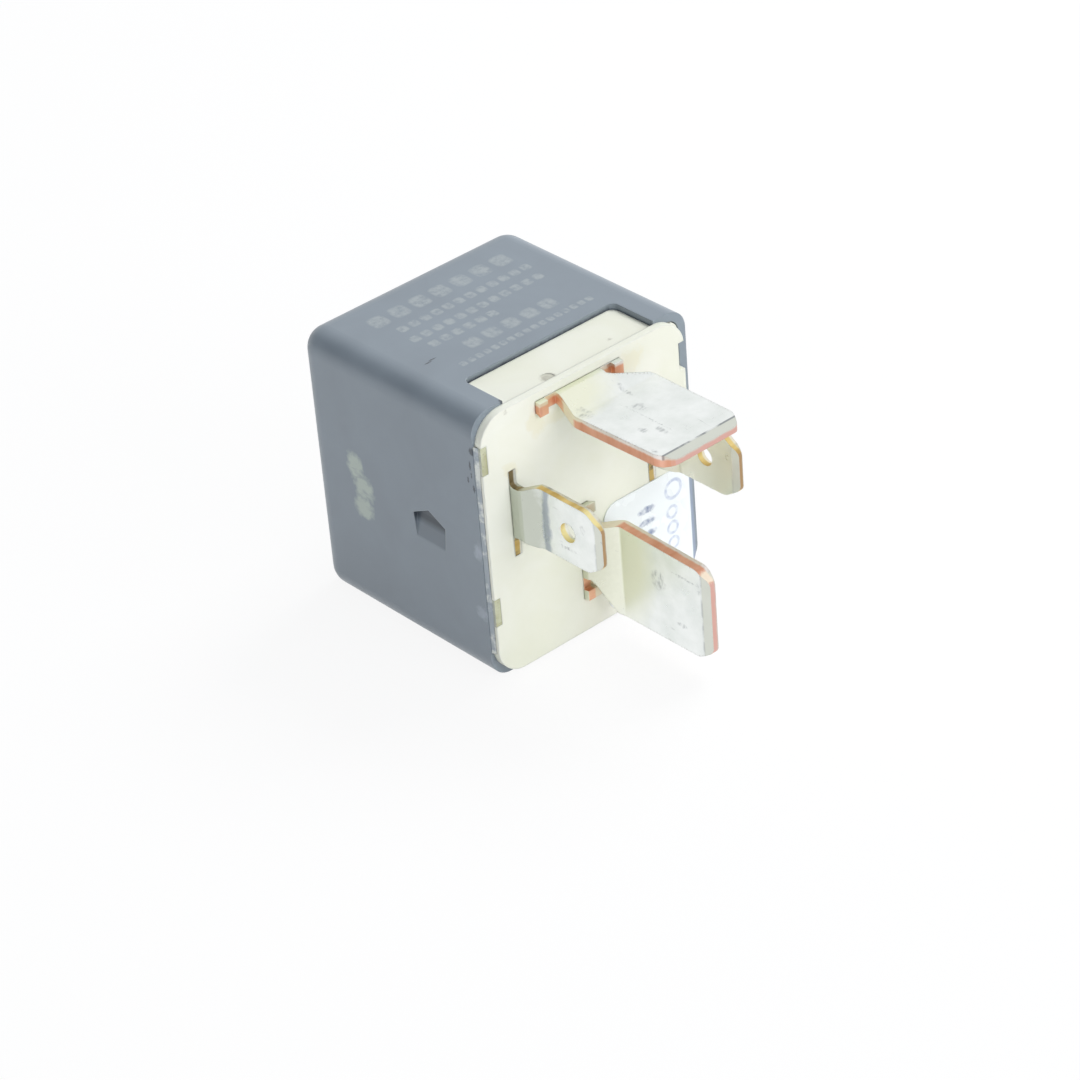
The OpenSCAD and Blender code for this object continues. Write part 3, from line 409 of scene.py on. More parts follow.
def tinned_sheet(name, metal, sheet_axis, blade_middle, slot_middle, thickness, crease_y, painted_light,
                 marks=(), crease_dark=0.25, bend_reflection_dark=0.0, covered=(), painted_highlights=()):
    """Tinned sheet whose faces look along sheet_axis, with bare sheared edges and listed marks."""
    bare_hex, bare_dark_hex, beside_base_hex, end_hex, highlight_hex = metal
    material, tree, place = start_material(name)
    facing = add(tree, "SeparateXYZ", {0: add(tree, "TexCoord").outputs["Normal"]})
    flat = add(tree, "Math", {0: facing.outputs[sheet_axis]}, operation="ABSOLUTE")
    sheared = add(tree, "MapRange", {0: flat, 1: 0.3, 2: 0.45, 3: 1.0, 4: 0.0})
    axes = add(tree, "SeparateXYZ", {0: place})
    # the shear drags tin over the upper third of the edge, with a ragged lower rim
    middle = add(tree, "MapRange", {0: axes.outputs[1], 1: step_out_y, 2: step_in_y, 3: blade_middle,
                                   4: slot_middle})
    deep = add(tree, "Math", {0: axes.outputs[sheet_axis], 1: middle}, operation="SUBTRACT")
    deep = add(tree, "Math", {0: deep, 1: 1 / thickness}, operation="MULTIPLY")
    streaks = add(tree, "Mapping", {"Vector": place})
    streaks.inputs["Scale"].default_value = [0.25 if i == sheet_axis else 1.0 for i in range(3)]
    grain = add(tree, "TexNoise", {"Vector": streaks, "Scale": 1 / 1.2, "Detail": 6.0})
    dragged = add(tree, "Math", {0: grain, 1: 0.35, 2: deep}, operation="MULTIPLY_ADD")
    dragged = add(tree, "MapRange", {0: dragged, 1: 0.28, 2: 0.44, 3: 0.0, 4: 0.8})
    # in the joggle the tin follows the edge all the way down, and so it does at the covered places
    joggle = add(tree, "MapRange", {0: axes.outputs[1], 1: step_out_y - 0.2, 2: step_out_y + 0.1, 3: 0.0,
                                   4: 0.75})
    slot_end = add(tree, "MapRange", {0: axes.outputs[1], 1: step_in_y - 0.7, 2: step_in_y - 0.4, 3: 1.0,
                                     4: 0.0})
    joggle = add(tree, "Math", {0: joggle, 1: slot_end}, operation="MULTIPLY")
    dragged = add(tree, "Math", {0: dragged, 1: joggle}, operation="MAXIMUM")
    dragged = add(tree, "Math", {0: dragged, 1: spots(tree, place, covered, 0.3)}, operation="MAXIMUM")
    bare = add(tree, "Math", {0: 1.0, 1: dragged}, operation="SUBTRACT")
    bare = add(tree, "Math", {0: bare, 1: sheared}, operation="MULTIPLY")
    tone = add(tree, "MapRange", {0: grain, 1: noise_low, 2: noise_high})
    bare_colour = add(tree, "Mix", {0: tone, 6: linear(bare_dark_hex), 7: linear(bare_hex)},
                      data_type="RGBA")
    # beside the base the shear takes its own colour: fresh copper on the load blades, and on brass a dark
    # olive that is painted shade at the slots; painted highlights brighten listed corners
    beside_base = add(tree, "MapRange", {0: axes.outputs[1], 1: step_in_y - 1.0, 2: step_in_y - 0.4})
    patchy = add(tree, "MapRange", {0: grain, 1: 0.42, 2: 0.5, 3: 0.25, 4: 1.0})
    beside_base = add(tree, "Math", {0: beside_base, 1: patchy}, operation="MULTIPLY")
    bare_colour = add(tree, "Mix", {0: beside_base, 6: bare_colour, 7: linear(beside_base_hex)}, data_type="RGBA")
    end_face = add(tree, "MapRange", {0: facing.outputs[1], 1: -0.7, 2: -0.9})
    at_tip = add(tree, "Math", {0: axes.outputs[1], 1: step_out_y - 4.2}, operation="LESS_THAN")
    end_face = add(tree, "Math", {0: end_face, 1: at_tip}, operation="MULTIPLY")
    bare_colour = add(tree, "Mix", {0: end_face, 6: bare_colour, 7: linear(end_hex)}, data_type="RGBA")
    bare_colour = add(tree, "Mix", {0: spots(tree, place, painted_highlights, 0.2), 6: bare_colour,
                                    7: linear(highlight_hex)}, data_type="RGBA")
    # cloudy tin in patches of 3 mm, with fine rolling lines along the blade
    cloud = add(tree, "TexNoise", {"Vector": place, "Scale": 1 / 2.6, "Detail": 6.0, "Roughness": 0.6})
    lines = add(tree, "Mapping", {"Vector": place, "Scale": (1.0, 0.06, 1.0)})
    lines = add(tree, "TexNoise", {"Vector": lines, "Scale": 1 / 0.22, "Detail": 3.0})
    cloudy = add(tree, "MapRange", {0: cloud, 1: noise_low, 2: noise_high})
    tin = add(tree, "Mix", {0: cloudy, 6: linear("#e3e8e5"), 7: linear("#f7faf9")}, data_type="RGBA")
    # the tin lies thin beside a sheared edge and lets specks of the metal through
    edge = near_edge(tree, 0.45)[0]
    speck = add(tree, "TexNoise", {"Vector": place, "Scale": 1 / 0.16, "Detail": 3.0, "Roughness": 0.7})
    speck = add(tree, "MapRange", {0: speck, 1: 0.5, 2: 0.66})
    thin = add(tree, "Math", {0: edge, 1: speck}, operation="MULTIPLY")
    thin = add(tree, "Math", {0: thin, 1: 0.55}, operation="MULTIPLY")
    tin = add(tree, "Mix", {0: thin, 6: tin, 7: linear("#9a958c")}, data_type="RGBA")
    # scratches of 0.03 mm, drawn up to 0.1 mm wide so that they show, only where patches let them be
    scratch = None
    for turn, squeeze in ((24, 0.10), (-38, 0.08), (74, 0.12)):
        turned = add(tree, "Mapping", {"Vector": place, "Rotation": (math.radians(turn),) * 3,
                                       "Scale": (1.0, squeeze, 0.4)})
        hair = add(tree, "TexNoise", {"Vector": turned, "Scale": 1 / 0.35, "Detail": 2.0})
        hair = add(tree, "MapRange", {0: hair, 1: 0.72, 2: 0.79})
        scratch = hair if scratch is None else add(tree, "Math", {0: scratch, 1: hair}, operation="MAXIMUM")
    patch = add(tree, "TexNoise", {"Vector": place, "Scale": 1 / 3.2, "Detail": 2.0})
    patch = add(tree, "MapRange", {0: patch, 1: 0.5, 2: 0.66, 3: 0.0, 4: 0.7})
    scratch = add(tree, "Math", {0: scratch, 1: patch}, operation="MULTIPLY")
    # dark crease where the lead-in bevel starts, broken here and there
    crease = add(tree, "Math", {0: axes.outputs[1], 1: crease_y}, operation="SUBTRACT")
    crease = add(tree, "Math", {0: crease}, operation="ABSOLUTE")
    crease = add(tree, "MapRange", {0: crease, 1: 0.14, 2: 0.05, 3: 0.0, 4: crease_dark})
    broken = add(tree, "MapRange", {0: grain, 1: 0.38, 2: 0.52, 3: 0.1, 4: 0.9})
    crease = add(tree, "Math", {0: crease, 1: broken}, operation="MULTIPLY")
    marked = add(tree, "Math", {0: scratch, 1: crease}, operation="MAXIMUM")
    # and a painted dark bluish reflection along the bend
    bend_reflection = add(tree, "Math", {0: cloud, 1: 1.6, 2: axes.outputs[1]}, operation="MULTIPLY_ADD")
    bend_reflection = add(tree, "Math", {0: bend_reflection, 1: step_out_y - 0.3}, operation="SUBTRACT")
    bend_reflection = add(tree, "Math", {0: bend_reflection}, operation="ABSOLUTE")
    bend_reflection = add(tree, "MapRange", {0: bend_reflection, 1: 0.5, 2: 0.2, 3: 0.0, 4: bend_reflection_dark})
    drawn = add(tree, "Mapping", {"Vector": place, "Scale": (0.45, 1.0, 0.45), "Rotation": (0.0, 0.0, 0.4)})
    drawn = add(tree, "TexNoise", {"Vector": drawn, "Scale": 1 / 0.3, "Detail": 3.0})
    drawn = add(tree, "MapRange", {0: drawn, 1: 0.42, 2: 0.66, 3: 0.1, 4: 1.0})
    smudge = add(tree, "Math", {0: spots(tree, place, marks, 0.3), 1: drawn}, operation="MULTIPLY")
    smudge = add(tree, "Math", {0: smudge, 1: 0.42}, operation="MULTIPLY")
    marked = add(tree, "Math", {0: marked, 1: smudge}, operation="MAXIMUM")
    # painted reflections and painted shade: listed places of the tin are tinted cream or darker
    for painted_hex, painted_marks in painted_light:
        tin = add(tree, "Mix", {0: spots(tree, place, painted_marks, 0.4), 6: tin,
                                7: linear(painted_hex)}, data_type="RGBA")
    # the lead-in bevel is painted a little darker and creamier, as painted shade
    bevel_shade = add(tree, "Math", {0: axes.outputs[1], 1: crease_y}, operation="SUBTRACT")
    bevel_shade = add(tree, "MapRange", {0: bevel_shade, 1: 0.0, 2: -0.1, 3: 0.0, 4: 0.7})
    tin = add(tree, "Mix", {0: bevel_shade, 6: tin, 7: linear("#cdd0c3")}, data_type="RGBA")
    # painted reflection: a dark bluish band along the bend
    tin = add(tree, "Mix", {0: bend_reflection, 6: tin, 7: linear("#8f9ab0")}, data_type="RGBA")
    tin = add(tree, "Mix", {0: marked, 6: tin, 7: linear("#666c73")}, data_type="RGBA")
    colour = add(tree, "Mix", {0: bare, 6: tin, 7: bare_colour}, data_type="RGBA")
    rough = add(tree, "MapRange", {0: cloud, 1: noise_low, 2: noise_high, 3: 0.26, 4: 0.4})
    rough = add(tree, "Math", {0: bare, 1: 0.12, 2: rough}, operation="MULTIPLY_ADD")
    height = add(tree, "Math", {0: marked, 1: -1.2, 2: lines}, operation="MULTIPLY_ADD")
    soft_normal = near_edge(tree, 0.1)[1]
    finish_surface(tree, colour, rough, height, 0.35, 0.01, soft_normal, Metallic=1.0)
    return material


# colours of each bare metal: light, dark, beside the base (painted shade on brass), on the end face, and a
# painted highlight
copper = ("#efbca4", "#dc9d80", "#efc0a0", "#e3b5aa", "#fff0dc")
brass = ("#f6e19c", "#ccab60", "#857758", "#b99a74", "#fff3b4")
load_crease_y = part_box("terminal_fixed")[0].y / mm + 0.95
coil_crease_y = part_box("terminal_coil_left")[0].y / mm + 0.8
upper_face = 25.4
common_face = 0.25
coil_face = -8.8
# marks: centre and half sizes in mm
upper_marks = (
    # a curl, a dull patch, a long faint line and a few nicks on the upper load blade
    ((2.0, -8.1, upper_face), (0.25, 1.2, 0.6)),
    ((1.0, -11.1, upper_face), (0.5, 0.7, 0.6)),
    ((0.2, -13.0, upper_face), (0.07, 3.2, 0.6)),
    ((-1.5, -14.2, upper_face), (0.35, 0.5, 0.6)),
    ((-0.4, -15.4, upper_face), (0.3, 0.8, 0.6)),
    ((-3.0, -8.4, upper_face), (0.6, 0.9, 0.6)),
    ((-3.2, -17.4, upper_face), (0.25, 0.4, 0.6)),
)
common_marks = (
    # a smudge and two thin cracks in the tin of the common blade
    ((common_face, -12.9, 8.1), (0.8, 0.9, 1.0)),
    ((common_face, -16.6, 9.8), (0.8, 1.9, 0.12)),
    ((common_face, -15.8, 4.5), (0.8, 0.7, 0.25)),
    ((common_face, -18.2, 9.6), (0.8, 0.15, 0.7)),
)
coil_marks = (
    # a long faint line and a dull spot near the hole of the coil blade
    ((coil_face, -11.5, 15.4), (0.8, 1.2, 0.15)),
    ((coil_face, -13.6, 18.2), (0.8, 0.3, 0.5)),
)
# places of painted light, cream reflections of the base and painted shade: colour, then centres and half
# sizes
# painted cream reflection of the base on the upper blade beside its root
upper_painted_light = (("#eff1dd", (((-5.0, -5.4, 25.6), (7.0, 3.6, 3.5)),)),)
# painted cream reflection of the base on the common blade, then painted shade on its joggle beside the base
common_painted_light = (("#eceedd", (((0.0, -7.0, 8.9), (3.0, 5.0, 8.0)),)),
                 ("#d6d8c4", (((0.0, -4.0, 8.9), (5.0, 3.4, 9.0)),)))
common_covered = (((-1.5, -5.6, 13.6), (2.0, 1.2, 2.0)),)
# painted highlight on the bare edges at the common blade's tip chamfer
common_painted_highlights = (((0.85, -18.95, 10.9), (1.0, 0.75, 0.5)),)
# painted shade on the bent neck of the left coil blade
coil_painted_light = (("#c6cbc0", (((-9.0, -6.6, 16.9), (4.0, 2.2, 5.2)),)),)
# painted highlights on the left coil blade's bare edges, one at its chamfer
coil_painted_highlights = (((-8.4, -14.6, 19.9), (0.8, 1.3, 0.8)), ((-8.4, -11.2, 16.6), (0.8, 0.9, 0.9)))
# painted cream reflection of the base on the right coil blade
coil_painted_reflection = (("#efebdb", (((8.4, -10.0, 17.0), (2.0, 7.0, 6.0)),)),)
finish_node("terminal_fixed", tinned_sheet(
    "tinned_copper_flat", copper, sheet_axis=2, blade_middle=24.8, slot_middle=26.2, thickness=1.2,
    crease_y=load_crease_y, marks=upper_marks, painted_light=upper_painted_light, crease_dark=0.85))
finish_node("terminal_common", tinned_sheet(
    "tinned_copper_upright", copper, sheet_axis=0, blade_middle=0.85, slot_middle=-1.5, thickness=1.2,
    crease_y=load_crease_y, marks=common_marks, painted_light=common_painted_light, crease_dark=0.4,
    covered=common_covered, painted_highlights=common_painted_highlights))
finish_node("terminal_coil_left", tinned_sheet(
    "tinned_brass_left", brass, sheet_axis=0, blade_middle=-8.4, slot_middle=-9.4, thickness=0.8,
    crease_y=coil_crease_y, marks=coil_marks, painted_light=coil_painted_light, bend_reflection_dark=0.65,
    painted_highlights=coil_painted_highlights))
finish_node("terminal_coil_right", tinned_sheet(
    "tinned_brass_right", brass, sheet_axis=0, blade_middle=8.4, slot_middle=7.15, thickness=0.8,
    crease_y=coil_crease_y, painted_light=coil_painted_reflection))


# ----------------------------------------------------------
# Base: moulded from cream PBT, snapped into the cover and sealed. It yellows beside the slots,
# where flux and handling reach it, carries a yellowish painted shadow under the upper blade, and
# keeps soft edges and a faint grain from its mould.
# ----------------------------------------------------------
top_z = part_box("cover")[1].z / mm


def moulded(name, dress, light_hex, dark_hex, edge_hex, roughness, edge_radius, shade_and_grime_hex, shade_and_grime,
            top_shade_and_grime):
    """Moulded plastic with flow marks, rubbed soft edges, and painted shade with dirt in sheltered corners;
    dress adds its own marks.

    shade_and_grime is the strength of the painted shade and dirt in sheltered corners, and
    top_shade_and_grime their share on the upper face.
    """
    material, tree, place = start_material(name)
    flow = add(tree, "TexNoise", {"Vector": place, "Scale": 1 / 7, "Detail": 5.0, "Roughness": 0.55,
                                  "Distortion": 0.6})
    # the mould's fine grain of 0.05 mm, drawn 0.12 mm coarse so that it shows
    fine = add(tree, "TexNoise", {"Vector": place, "Scale": 1 / 0.12, "Detail": 3.0})
    blend = add(tree, "MapRange", {0: flow, 1: noise_low, 2: noise_high})
    colour = add(tree, "Mix", {0: blend, 6: linear(dark_hex), 7: linear(light_hex)}, data_type="RGBA")
    edge, rounded = near_edge(tree, edge_radius)
    rub = add(tree, "TexNoise", {"Vector": place, "Scale": 1 / 1.1, "Detail": 4.0})
    worn = add(tree, "Math", {0: edge, 1: rub}, operation="MULTIPLY")
    colour = add(tree, "Mix", {0: worn, 6: colour, 7: linear(edge_hex)}, data_type="RGBA")
    colour = dress(tree, place, rub, colour)
    # painted shade: corners sheltered within 1.2 mm are darkened towards the grime colour, broken up like
    # dirt by the rub noise
    shelter = add(tree, "AmbientOcclusion", {"Distance": 1.2 * mm}, samples=8)
    darkening = add(tree, "MapRange", {0: shelter.outputs["AO"], 1: 0.75, 2: 0.25, 3: 0.0, 4: shade_and_grime})
    darkening = add(tree, "Math", {0: darkening, 1: rub}, operation="MULTIPLY")
    # on the upper face the painted shade and dirt are scaled by top_shade_and_grime
    upper_share = add(tree, "SeparateXYZ", {0: place})
    upper_share = add(tree, "MapRange", {0: upper_share.outputs[2], 1: top_z - 1.1, 2: top_z - 0.7, 3: 1.0,
                                  4: top_shade_and_grime})
    darkening = add(tree, "Math", {0: darkening, 1: upper_share}, operation="MULTIPLY")
    colour = add(tree, "Mix", {0: darkening, 6: colour, 7: linear(shade_and_grime_hex)}, data_type="RGBA")
    rough = add(tree, "MapRange", {0: flow, 1: noise_low, 2: noise_high, 3: roughness - 0.05,
                                   4: roughness + 0.06})
    finish_surface(tree, colour, rough, fine, 0.2, 0.008, rounded, IOR=1.57)
    return material


def dress_base(tree, place, rub, colour):
    """Yellow flux stains beside the slots, a yellowish painted shadow under the upper blade, grey handling
    dirt and the dirty ejector mark.
    """
    # yellow flux stains beside the slots; the wide strip just under the upper blade's slot is painted
    # shadow
    stains_and_shadow = spots(tree, place, (((5.6, -5.3, 25.9), (1.3, 0.8, 1.3)),
                                 ((-6.2, -5.3, 24.6), (1.1, 0.8, 1.2)),
                                 ((-1.0, -5.3, 24.4), (4.5, 0.8, 0.8)),
                                 ((-9.6, -5.3, 21.3), (0.9, 0.8, 0.8))), 0.8)
    stains_and_shadow = add(tree, "Math", {0: stains_and_shadow, 1: 0.26}, operation="MULTIPLY")
    colour = add(tree, "Mix", {0: stains_and_shadow, 6: colour, 7: linear("#e3d9a6")}, data_type="RGBA")
    darkening = spots(tree, place, (((-3.15, -3.8, 27.4), (0.75, 0.75, 0.4)),
                               ((-9.5, -4.9, 27.3), (0.35, 0.5, 0.3)),
                               ((5.0, -3.2, 27.4), (0.3, 0.2, 0.3))), 0.3)
    darkening = add(tree, "Math", {0: darkening, 1: rub}, operation="MULTIPLY")
    colour = add(tree, "Mix", {0: darkening, 6: colour, 7: linear("#a39f8d")}, data_type="RGBA")
    return colour


finish_node("base", moulded(
    "cream_pbt_moulded", dress_base, light_hex="#f2f3e6", dark_hex="#ecedda", edge_hex="#f5f6ed",
    roughness=0.42, edge_radius=0.25, shade_and_grime_hex="#8d8664", shade_and_grime=0.3, top_shade_and_grime=0.0))


# ----------------------------------------------------------
# Cover: a deep cup of grey PBT from a polished mould. Its pad print has worn to pale traces, a
# label once stuck to the side left a patch of glue, and the rim is nicked where it was sealed.
# ----------------------------------------------------------
side_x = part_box("cover")[1].x / mm
notch_depth = 5.35
notch_half_width = 9.08
pocket_middle_y = 2.6
pocket_half_width = 2.6
pocket_middle_z = 13.6
pocket_half_height = 1.9


def dress_cover(tree, place, rub, colour):
    """Worn print on the upper face, the glue patch and smears on the left side, nicks on its rim, and
    painted shade in the grip pockets and on the notch's cut face.
    """
    axes = add(tree, "SeparateXYZ", {0: place})
    on_top = add(tree, "MapRange", {0: axes.outputs[2], 1: top_z - 0.1, 2: top_z - 0.05})
    # plain worn blocks: middle and height along Y, start and end along X in mm, and their number
    rows = ((14.4, 2.0, -8.6, 8.8, 7), (11.7, 1.1, -7.4, 8.9, 12), (9.5, 1.1, -7.8, 8.5, 12),
            (7.6, 1.1, -7.2, 1.2, 6), (5.1, 1.7, -5.2, 6.2, 5), (2.9, 0.8, -7.6, 8.6, 17))
    print_mask = None
    for row_y, height, start, end, blocks in rows:
        pitch = (end - start) / blocks
        up = add(tree, "Math", {0: axes.outputs[1], 1: row_y}, operation="SUBTRACT")
        up = add(tree, "Math", {0: up, 1: 2 / height}, operation="MULTIPLY")
        up = add(tree, "Math", {0: up, 1: 4.0}, operation="POWER")
        step = add(tree, "Math", {0: axes.outputs[0], 1: start + pitch / 2}, operation="SUBTRACT")
        step = add(tree, "Math", {0: step, 1: pitch / 2}, operation="PINGPONG")
        step = add(tree, "Math", {0: step, 1: 1 / (0.36 * pitch)}, operation="MULTIPLY")
        step = add(tree, "Math", {0: step, 1: 4.0}, operation="POWER")
        reach = add(tree, "Math", {0: up, 1: step}, operation="ADD")
        block = add(tree, "MapRange", {0: reach, 1: 1.5, 2: 0.3})
        centre = add(tree, "Math", {0: axes.outputs[0], 1: (start + end) / 2}, operation="SUBTRACT")
        centre = add(tree, "Math", {0: centre}, operation="ABSOLUTE")
        within = add(tree, "Math", {0: centre, 1: (end - start) / 2}, operation="LESS_THAN")
        block = add(tree, "Math", {0: block, 1: within}, operation="MULTIPLY")
        print_mask = block if print_mask is None else add(
            tree, "Math", {0: print_mask, 1: block}, operation="MAXIMUM")
    wear = add(tree, "TexNoise", {"Vector": place, "Scale": 1 / 0.7, "Detail": 4.0, "Roughness": 0.65})
    wear = add(tree, "MapRange", {0: wear, 1: 0.36, 2: 0.58, 3: 0.08, 4: 0.75})
    printed = add(tree, "Math", {0: print_mask, 1: wear}, operation="MULTIPLY")
    printed = add(tree, "Math", {0: printed, 1: on_top}, operation="MULTIPLY")
    colour = add(tree, "Mix", {0: printed, 6: colour, 7: linear("#a9b1b2")}, data_type="RGBA")
    # the glue patch: ragged pale streaks with the grey showing through
    patch = spots(tree, place, (((-13.0, 12.9, 15.9), (0.8, 1.0, 1.4)),
                                ((-13.0, 11.9, 13.8), (0.8, 1.3, 1.3)),
                                ((-13.0, 12.1, 11.6), (0.8, 1.3, 1.2))), 0.8)
    streaks = add(tree, "Mapping", {"Vector": place, "Scale": (1.0, 0.35, 1.0),
                                    "Rotation": (0.5, 0.0, 0.0)})
    streaks = add(tree, "TexNoise", {"Vector": streaks, "Scale": 1 / 0.6, "Detail": 4.0})
    streaks = add(tree, "MapRange", {0: streaks, 1: 0.25, 2: 0.45, 3: 0.4, 4: 1.0})
    patch = add(tree, "Math", {0: patch, 1: streaks}, operation="MULTIPLY")
    colour = add(tree, "Mix", {0: patch, 6: colour, 7: linear("#b4c0b6")}, data_type="RGBA")
    smears = spots(tree, place, (((-12.9, -4.2, 13.8), (0.5, 0.7, 1.0)),
                                 ((-12.8, -3.9, 7.1), (0.7, 0.8, 0.7))), 0.5)
    smears = add(tree, "Math", {0: smears, 1: rub}, operation="MULTIPLY")
    colour = add(tree, "Mix", {0: smears, 6: colour, 7: linear("#b3bcc6")}, data_type="RGBA")
    # painted shadow in the grip pockets, darker where they are deep, under their roofs
    depth = add(tree, "Math", {0: axes.outputs[0]}, operation="ABSOLUTE")
    depth = add(tree, "MapRange", {0: depth, 1: side_x - 0.02, 2: side_x - 0.04})
    roof = add(tree, "MapRange", {0: axes.outputs[2], 1: pocket_middle_z - 0.4, 2: pocket_middle_z + 0.3,
                                  3: 0.25, 4: 1.0})
    depth = add(tree, "Math", {0: depth, 1: roof}, operation="MULTIPLY")
    within = add(tree, "Math", {0: axes.outputs[1], 1: pocket_middle_y, 2: pocket_half_width},
                 operation="COMPARE")
    depth = add(tree, "Math", {0: depth, 1: within}, operation="MULTIPLY")
    within = add(tree, "Math", {0: axes.outputs[2], 1: pocket_middle_z, 2: pocket_half_height},
                 operation="COMPARE")
    depth = add(tree, "Math", {0: depth, 1: within}, operation="MULTIPLY")
    colour = add(tree, "Mix", {0: depth, 6: colour, 7: linear("#454e56")}, data_type="RGBA")
    # painted shade on the cut face of the notch, broken up by noise, with black nicks
    notch = add(tree, "Math", {0: axes.outputs[1], 1: rim_y + notch_depth, 2: 0.08}, operation="COMPARE")
    above = add(tree, "MapRange", {0: axes.outputs[2], 1: top_z - 0.15, 2: top_z - 0.45})
    notch = add(tree, "Math", {0: notch, 1: above}, operation="MULTIPLY")
    between = add(tree, "Math", {0: axes.outputs[0], 1: 0.0, 2: notch_half_width}, operation="COMPARE")
    notch = add(tree, "Math", {0: notch, 1: between}, operation="MULTIPLY")
    shade_breakup = add(tree, "TexNoise", {"Vector": place, "Scale": 1 / 0.5, "Detail": 4.0, "Roughness": 0.7})
    shade_breakup = add(tree, "MapRange", {0: shade_breakup, 1: 0.35, 2: 0.65, 3: 0.35, 4: 0.95})
    notch = add(tree, "Math", {0: notch, 1: shade_breakup}, operation="MULTIPLY")
    colour = add(tree, "Mix", {0: notch, 6: colour, 7: linear("#444b53")}, data_type="RGBA")
    nicks = spots(tree, place, (((-13.0, -4.4, 24.5), (0.5, 0.35, 0.4)),
                                ((-13.0, -4.0, 22.9), (0.3, 0.12, 0.5)),
                                ((-13.0, -3.6, 21.3), (0.3, 0.1, 0.35)),
                                ((-13.0, -4.3, 20.6), (0.3, 0.15, 0.4)),
                                ((-13.0, -4.1, 21.9), (0.3, 0.08, 0.3)),
                                ((-9.15, 5.4, 28.0), (0.45, 0.08, 0.3)),
                                ((-8.5, 5.58, 28.0), (0.45, 0.08, 0.3)),
                                ((-9.1, -4.4, 27.9), (0.3, 0.3, 0.3))), 0.13)
    nicks = add(tree, "Math", {0: nicks, 1: 0.75}, operation="MULTIPLY")
    colour = add(tree, "Mix", {0: nicks, 6: colour, 7: linear("#2c3036")}, data_type="RGBA")
    return colour


finish_node("cover", moulded(
    "grey_pbt_moulded", dress_cover, light_hex="#8a959e", dark_hex="#828d96", edge_hex="#9da7ac",
    roughness=0.36, edge_radius=0.15, shade_and_grime_hex="#4b525a", shade_and_grime=0.4, top_shade_and_grime=1.0))

# ----------------------------------------------------------
# Sealing resin: straw-coloured epoxy run into the recesses and along the left seam, cured hard. It
# dries glassy and slightly uneven, with a few darker specks.
# ----------------------------------------------------------
seam_x = -12.7
material, tree, place = start_material("epoxy_cured")
thick = add(tree, "TexNoise", {"Vector": place, "Scale": 1 / 1.8, "Detail": 3.0})
specks = add(tree, "TexNoise", {"Vector": place, "Scale": 1 / 0.2, "Detail": 3.0})
thickly = add(tree, "MapRange", {0: thick, 1: 0.35, 2: 0.65})
colour = add(tree, "Mix", {0: thickly, 6: linear("#b1b08a"), 7: linear("#cacdaf")}, data_type="RGBA")
axes = add(tree, "SeparateXYZ", {0: place})
# thin along the seam, where the grey of the cover shows through it between whitish traces
seam = add(tree, "MapRange", {0: axes.outputs[0], 1: seam_x + 0.02, 2: seam_x - 0.02})
traces = add(tree, "TexNoise", {"Vector": place, "Scale": 1 / 1.1, "Detail": 4.0, "Roughness": 0.6})
traces = add(tree, "MapRange", {0: traces, 1: 0.5, 2: 0.64})
thin = add(tree, "Mix", {0: traces, 6: linear("#a0a9af"), 7: linear("#d8dcd5")}, data_type="RGBA")
colour = add(tree, "Mix", {0: seam, 6: colour, 7: thin}, data_type="RGBA")
specked = add(tree, "MapRange", {0: specks, 1: 0.6, 2: 0.72, 3: 0.0, 4: 0.6})
recess = add(tree, "Math", {0: 1.0, 1: seam}, operation="SUBTRACT")
specked = add(tree, "Math", {0: specked, 1: recess}, operation="MULTIPLY")
colour = add(tree, "Mix", {0: specked, 6: colour, 7: linear("#8b8762")}, data_type="RGBA")
rough = add(tree, "MapRange", {0: thick, 1: noise_low, 2: noise_high, 3: 0.12, 4: 0.3})
rounded = near_edge(tree, 0.1)[1]
finish_surface(tree, colour, rough, thick, 0.35, 0.03, rounded, IOR=1.55)
finish_node("sealing_resin", material)

# ----------------------------------------------------------
# Label: white polyester film with a round corner, stuck on the base beside the common blade and
# printed with plain rings and bars in faded blue. The film is glossy and a little wavy.
# ----------------------------------------------------------
margin_x = 11.5
material, tree, place = start_material("polyester_film_printed")
axes = add(tree, "SeparateXYZ", {0: place})
ink = None
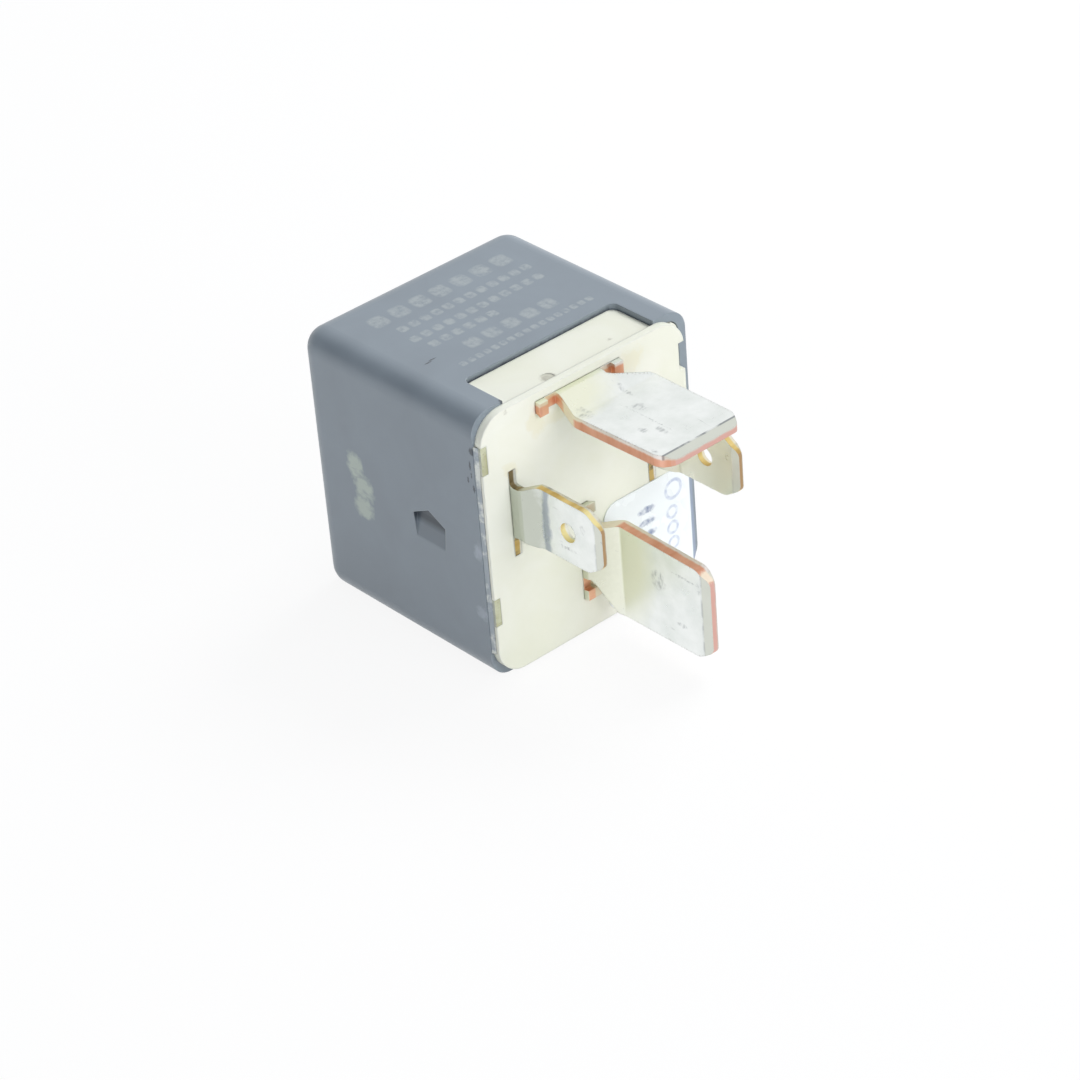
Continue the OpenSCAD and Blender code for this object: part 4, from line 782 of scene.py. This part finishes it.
# rings: middle across and up, radius and line width in mm
label_rings = ((9.5, 10.3, 0.95, 0.3), (9.2, 7.9, 0.6, 0.25), (9.2, 6.2, 0.6, 0.25), (9.2, 4.5, 0.6, 0.25))
for ring_x, ring_z, radius, line in label_rings:
    across = add(tree, "Math", {0: axes.outputs[0], 1: ring_x}, operation="SUBTRACT")
    upward = add(tree, "Math", {0: axes.outputs[2], 1: ring_z}, operation="SUBTRACT")
    off = add(tree, "CombineXYZ", {0: across, 2: upward})
    off = add(tree, "VectorMath", {0: off}, operation="LENGTH")
    off = add(tree, "Math", {0: off, 1: radius}, operation="SUBTRACT")
    off = add(tree, "Math", {0: off}, operation="ABSOLUTE")
    ring = add(tree, "MapRange", {0: off, 1: line / 2 + 0.08, 2: line / 2 - 0.04})
    ink = ring if ink is None else add(tree, "Math", {0: ink, 1: ring}, operation="MAXIMUM")
bars = spots(tree, place, (((6.0, -5.4, 9.6), (1.0, 0.5, 0.36)), ((6.0, -5.4, 8.3), (1.0, 0.5, 0.36)),
                           ((6.4, -5.4, 7.0), (0.7, 0.5, 0.36))), 0.25)
fade = add(tree, "TexNoise", {"Vector": place, "Scale": 1 / 0.6, "Detail": 3.0})
fade = add(tree, "MapRange", {0: fade, 1: 0.35, 2: 0.65, 3: 0.25, 4: 0.85})
film = add(tree, "TexNoise", {"Vector": place, "Scale": 1 / 2.8, "Detail": 3.0})
colour = add(tree, "Mix", {0: film, 6: linear("#f0f5f5"), 7: linear("#f6fafa")}, data_type="RGBA")
ring_ink = add(tree, "Math", {0: ink, 1: fade}, operation="MULTIPLY")
colour = add(tree, "Mix", {0: ring_ink, 6: colour, 7: linear("#b4bed6")}, data_type="RGBA")
bar_ink = add(tree, "Math", {0: bars, 1: fade}, operation="MULTIPLY")
colour = add(tree, "Mix", {0: bar_ink, 6: colour, 7: linear("#5d6f9a")}, data_type="RGBA")
# a slate strip printed along the right margin
margin = add(tree, "MapRange", {0: axes.outputs[0], 1: margin_x, 2: margin_x + 0.1, 3: 0.0, 4: 0.9})
colour = add(tree, "Mix", {0: margin, 6: colour, 7: linear("#8794ab")}, data_type="RGBA")
rough = add(tree, "MapRange", {0: film, 1: noise_low, 2: noise_high, 3: 0.2, 4: 0.32})
rounded = near_edge(tree, 0.08)[1]
finish_surface(tree, colour, rough, film, 0.1, 0.02, rounded, IOR=1.5)
finish_node("label", material)
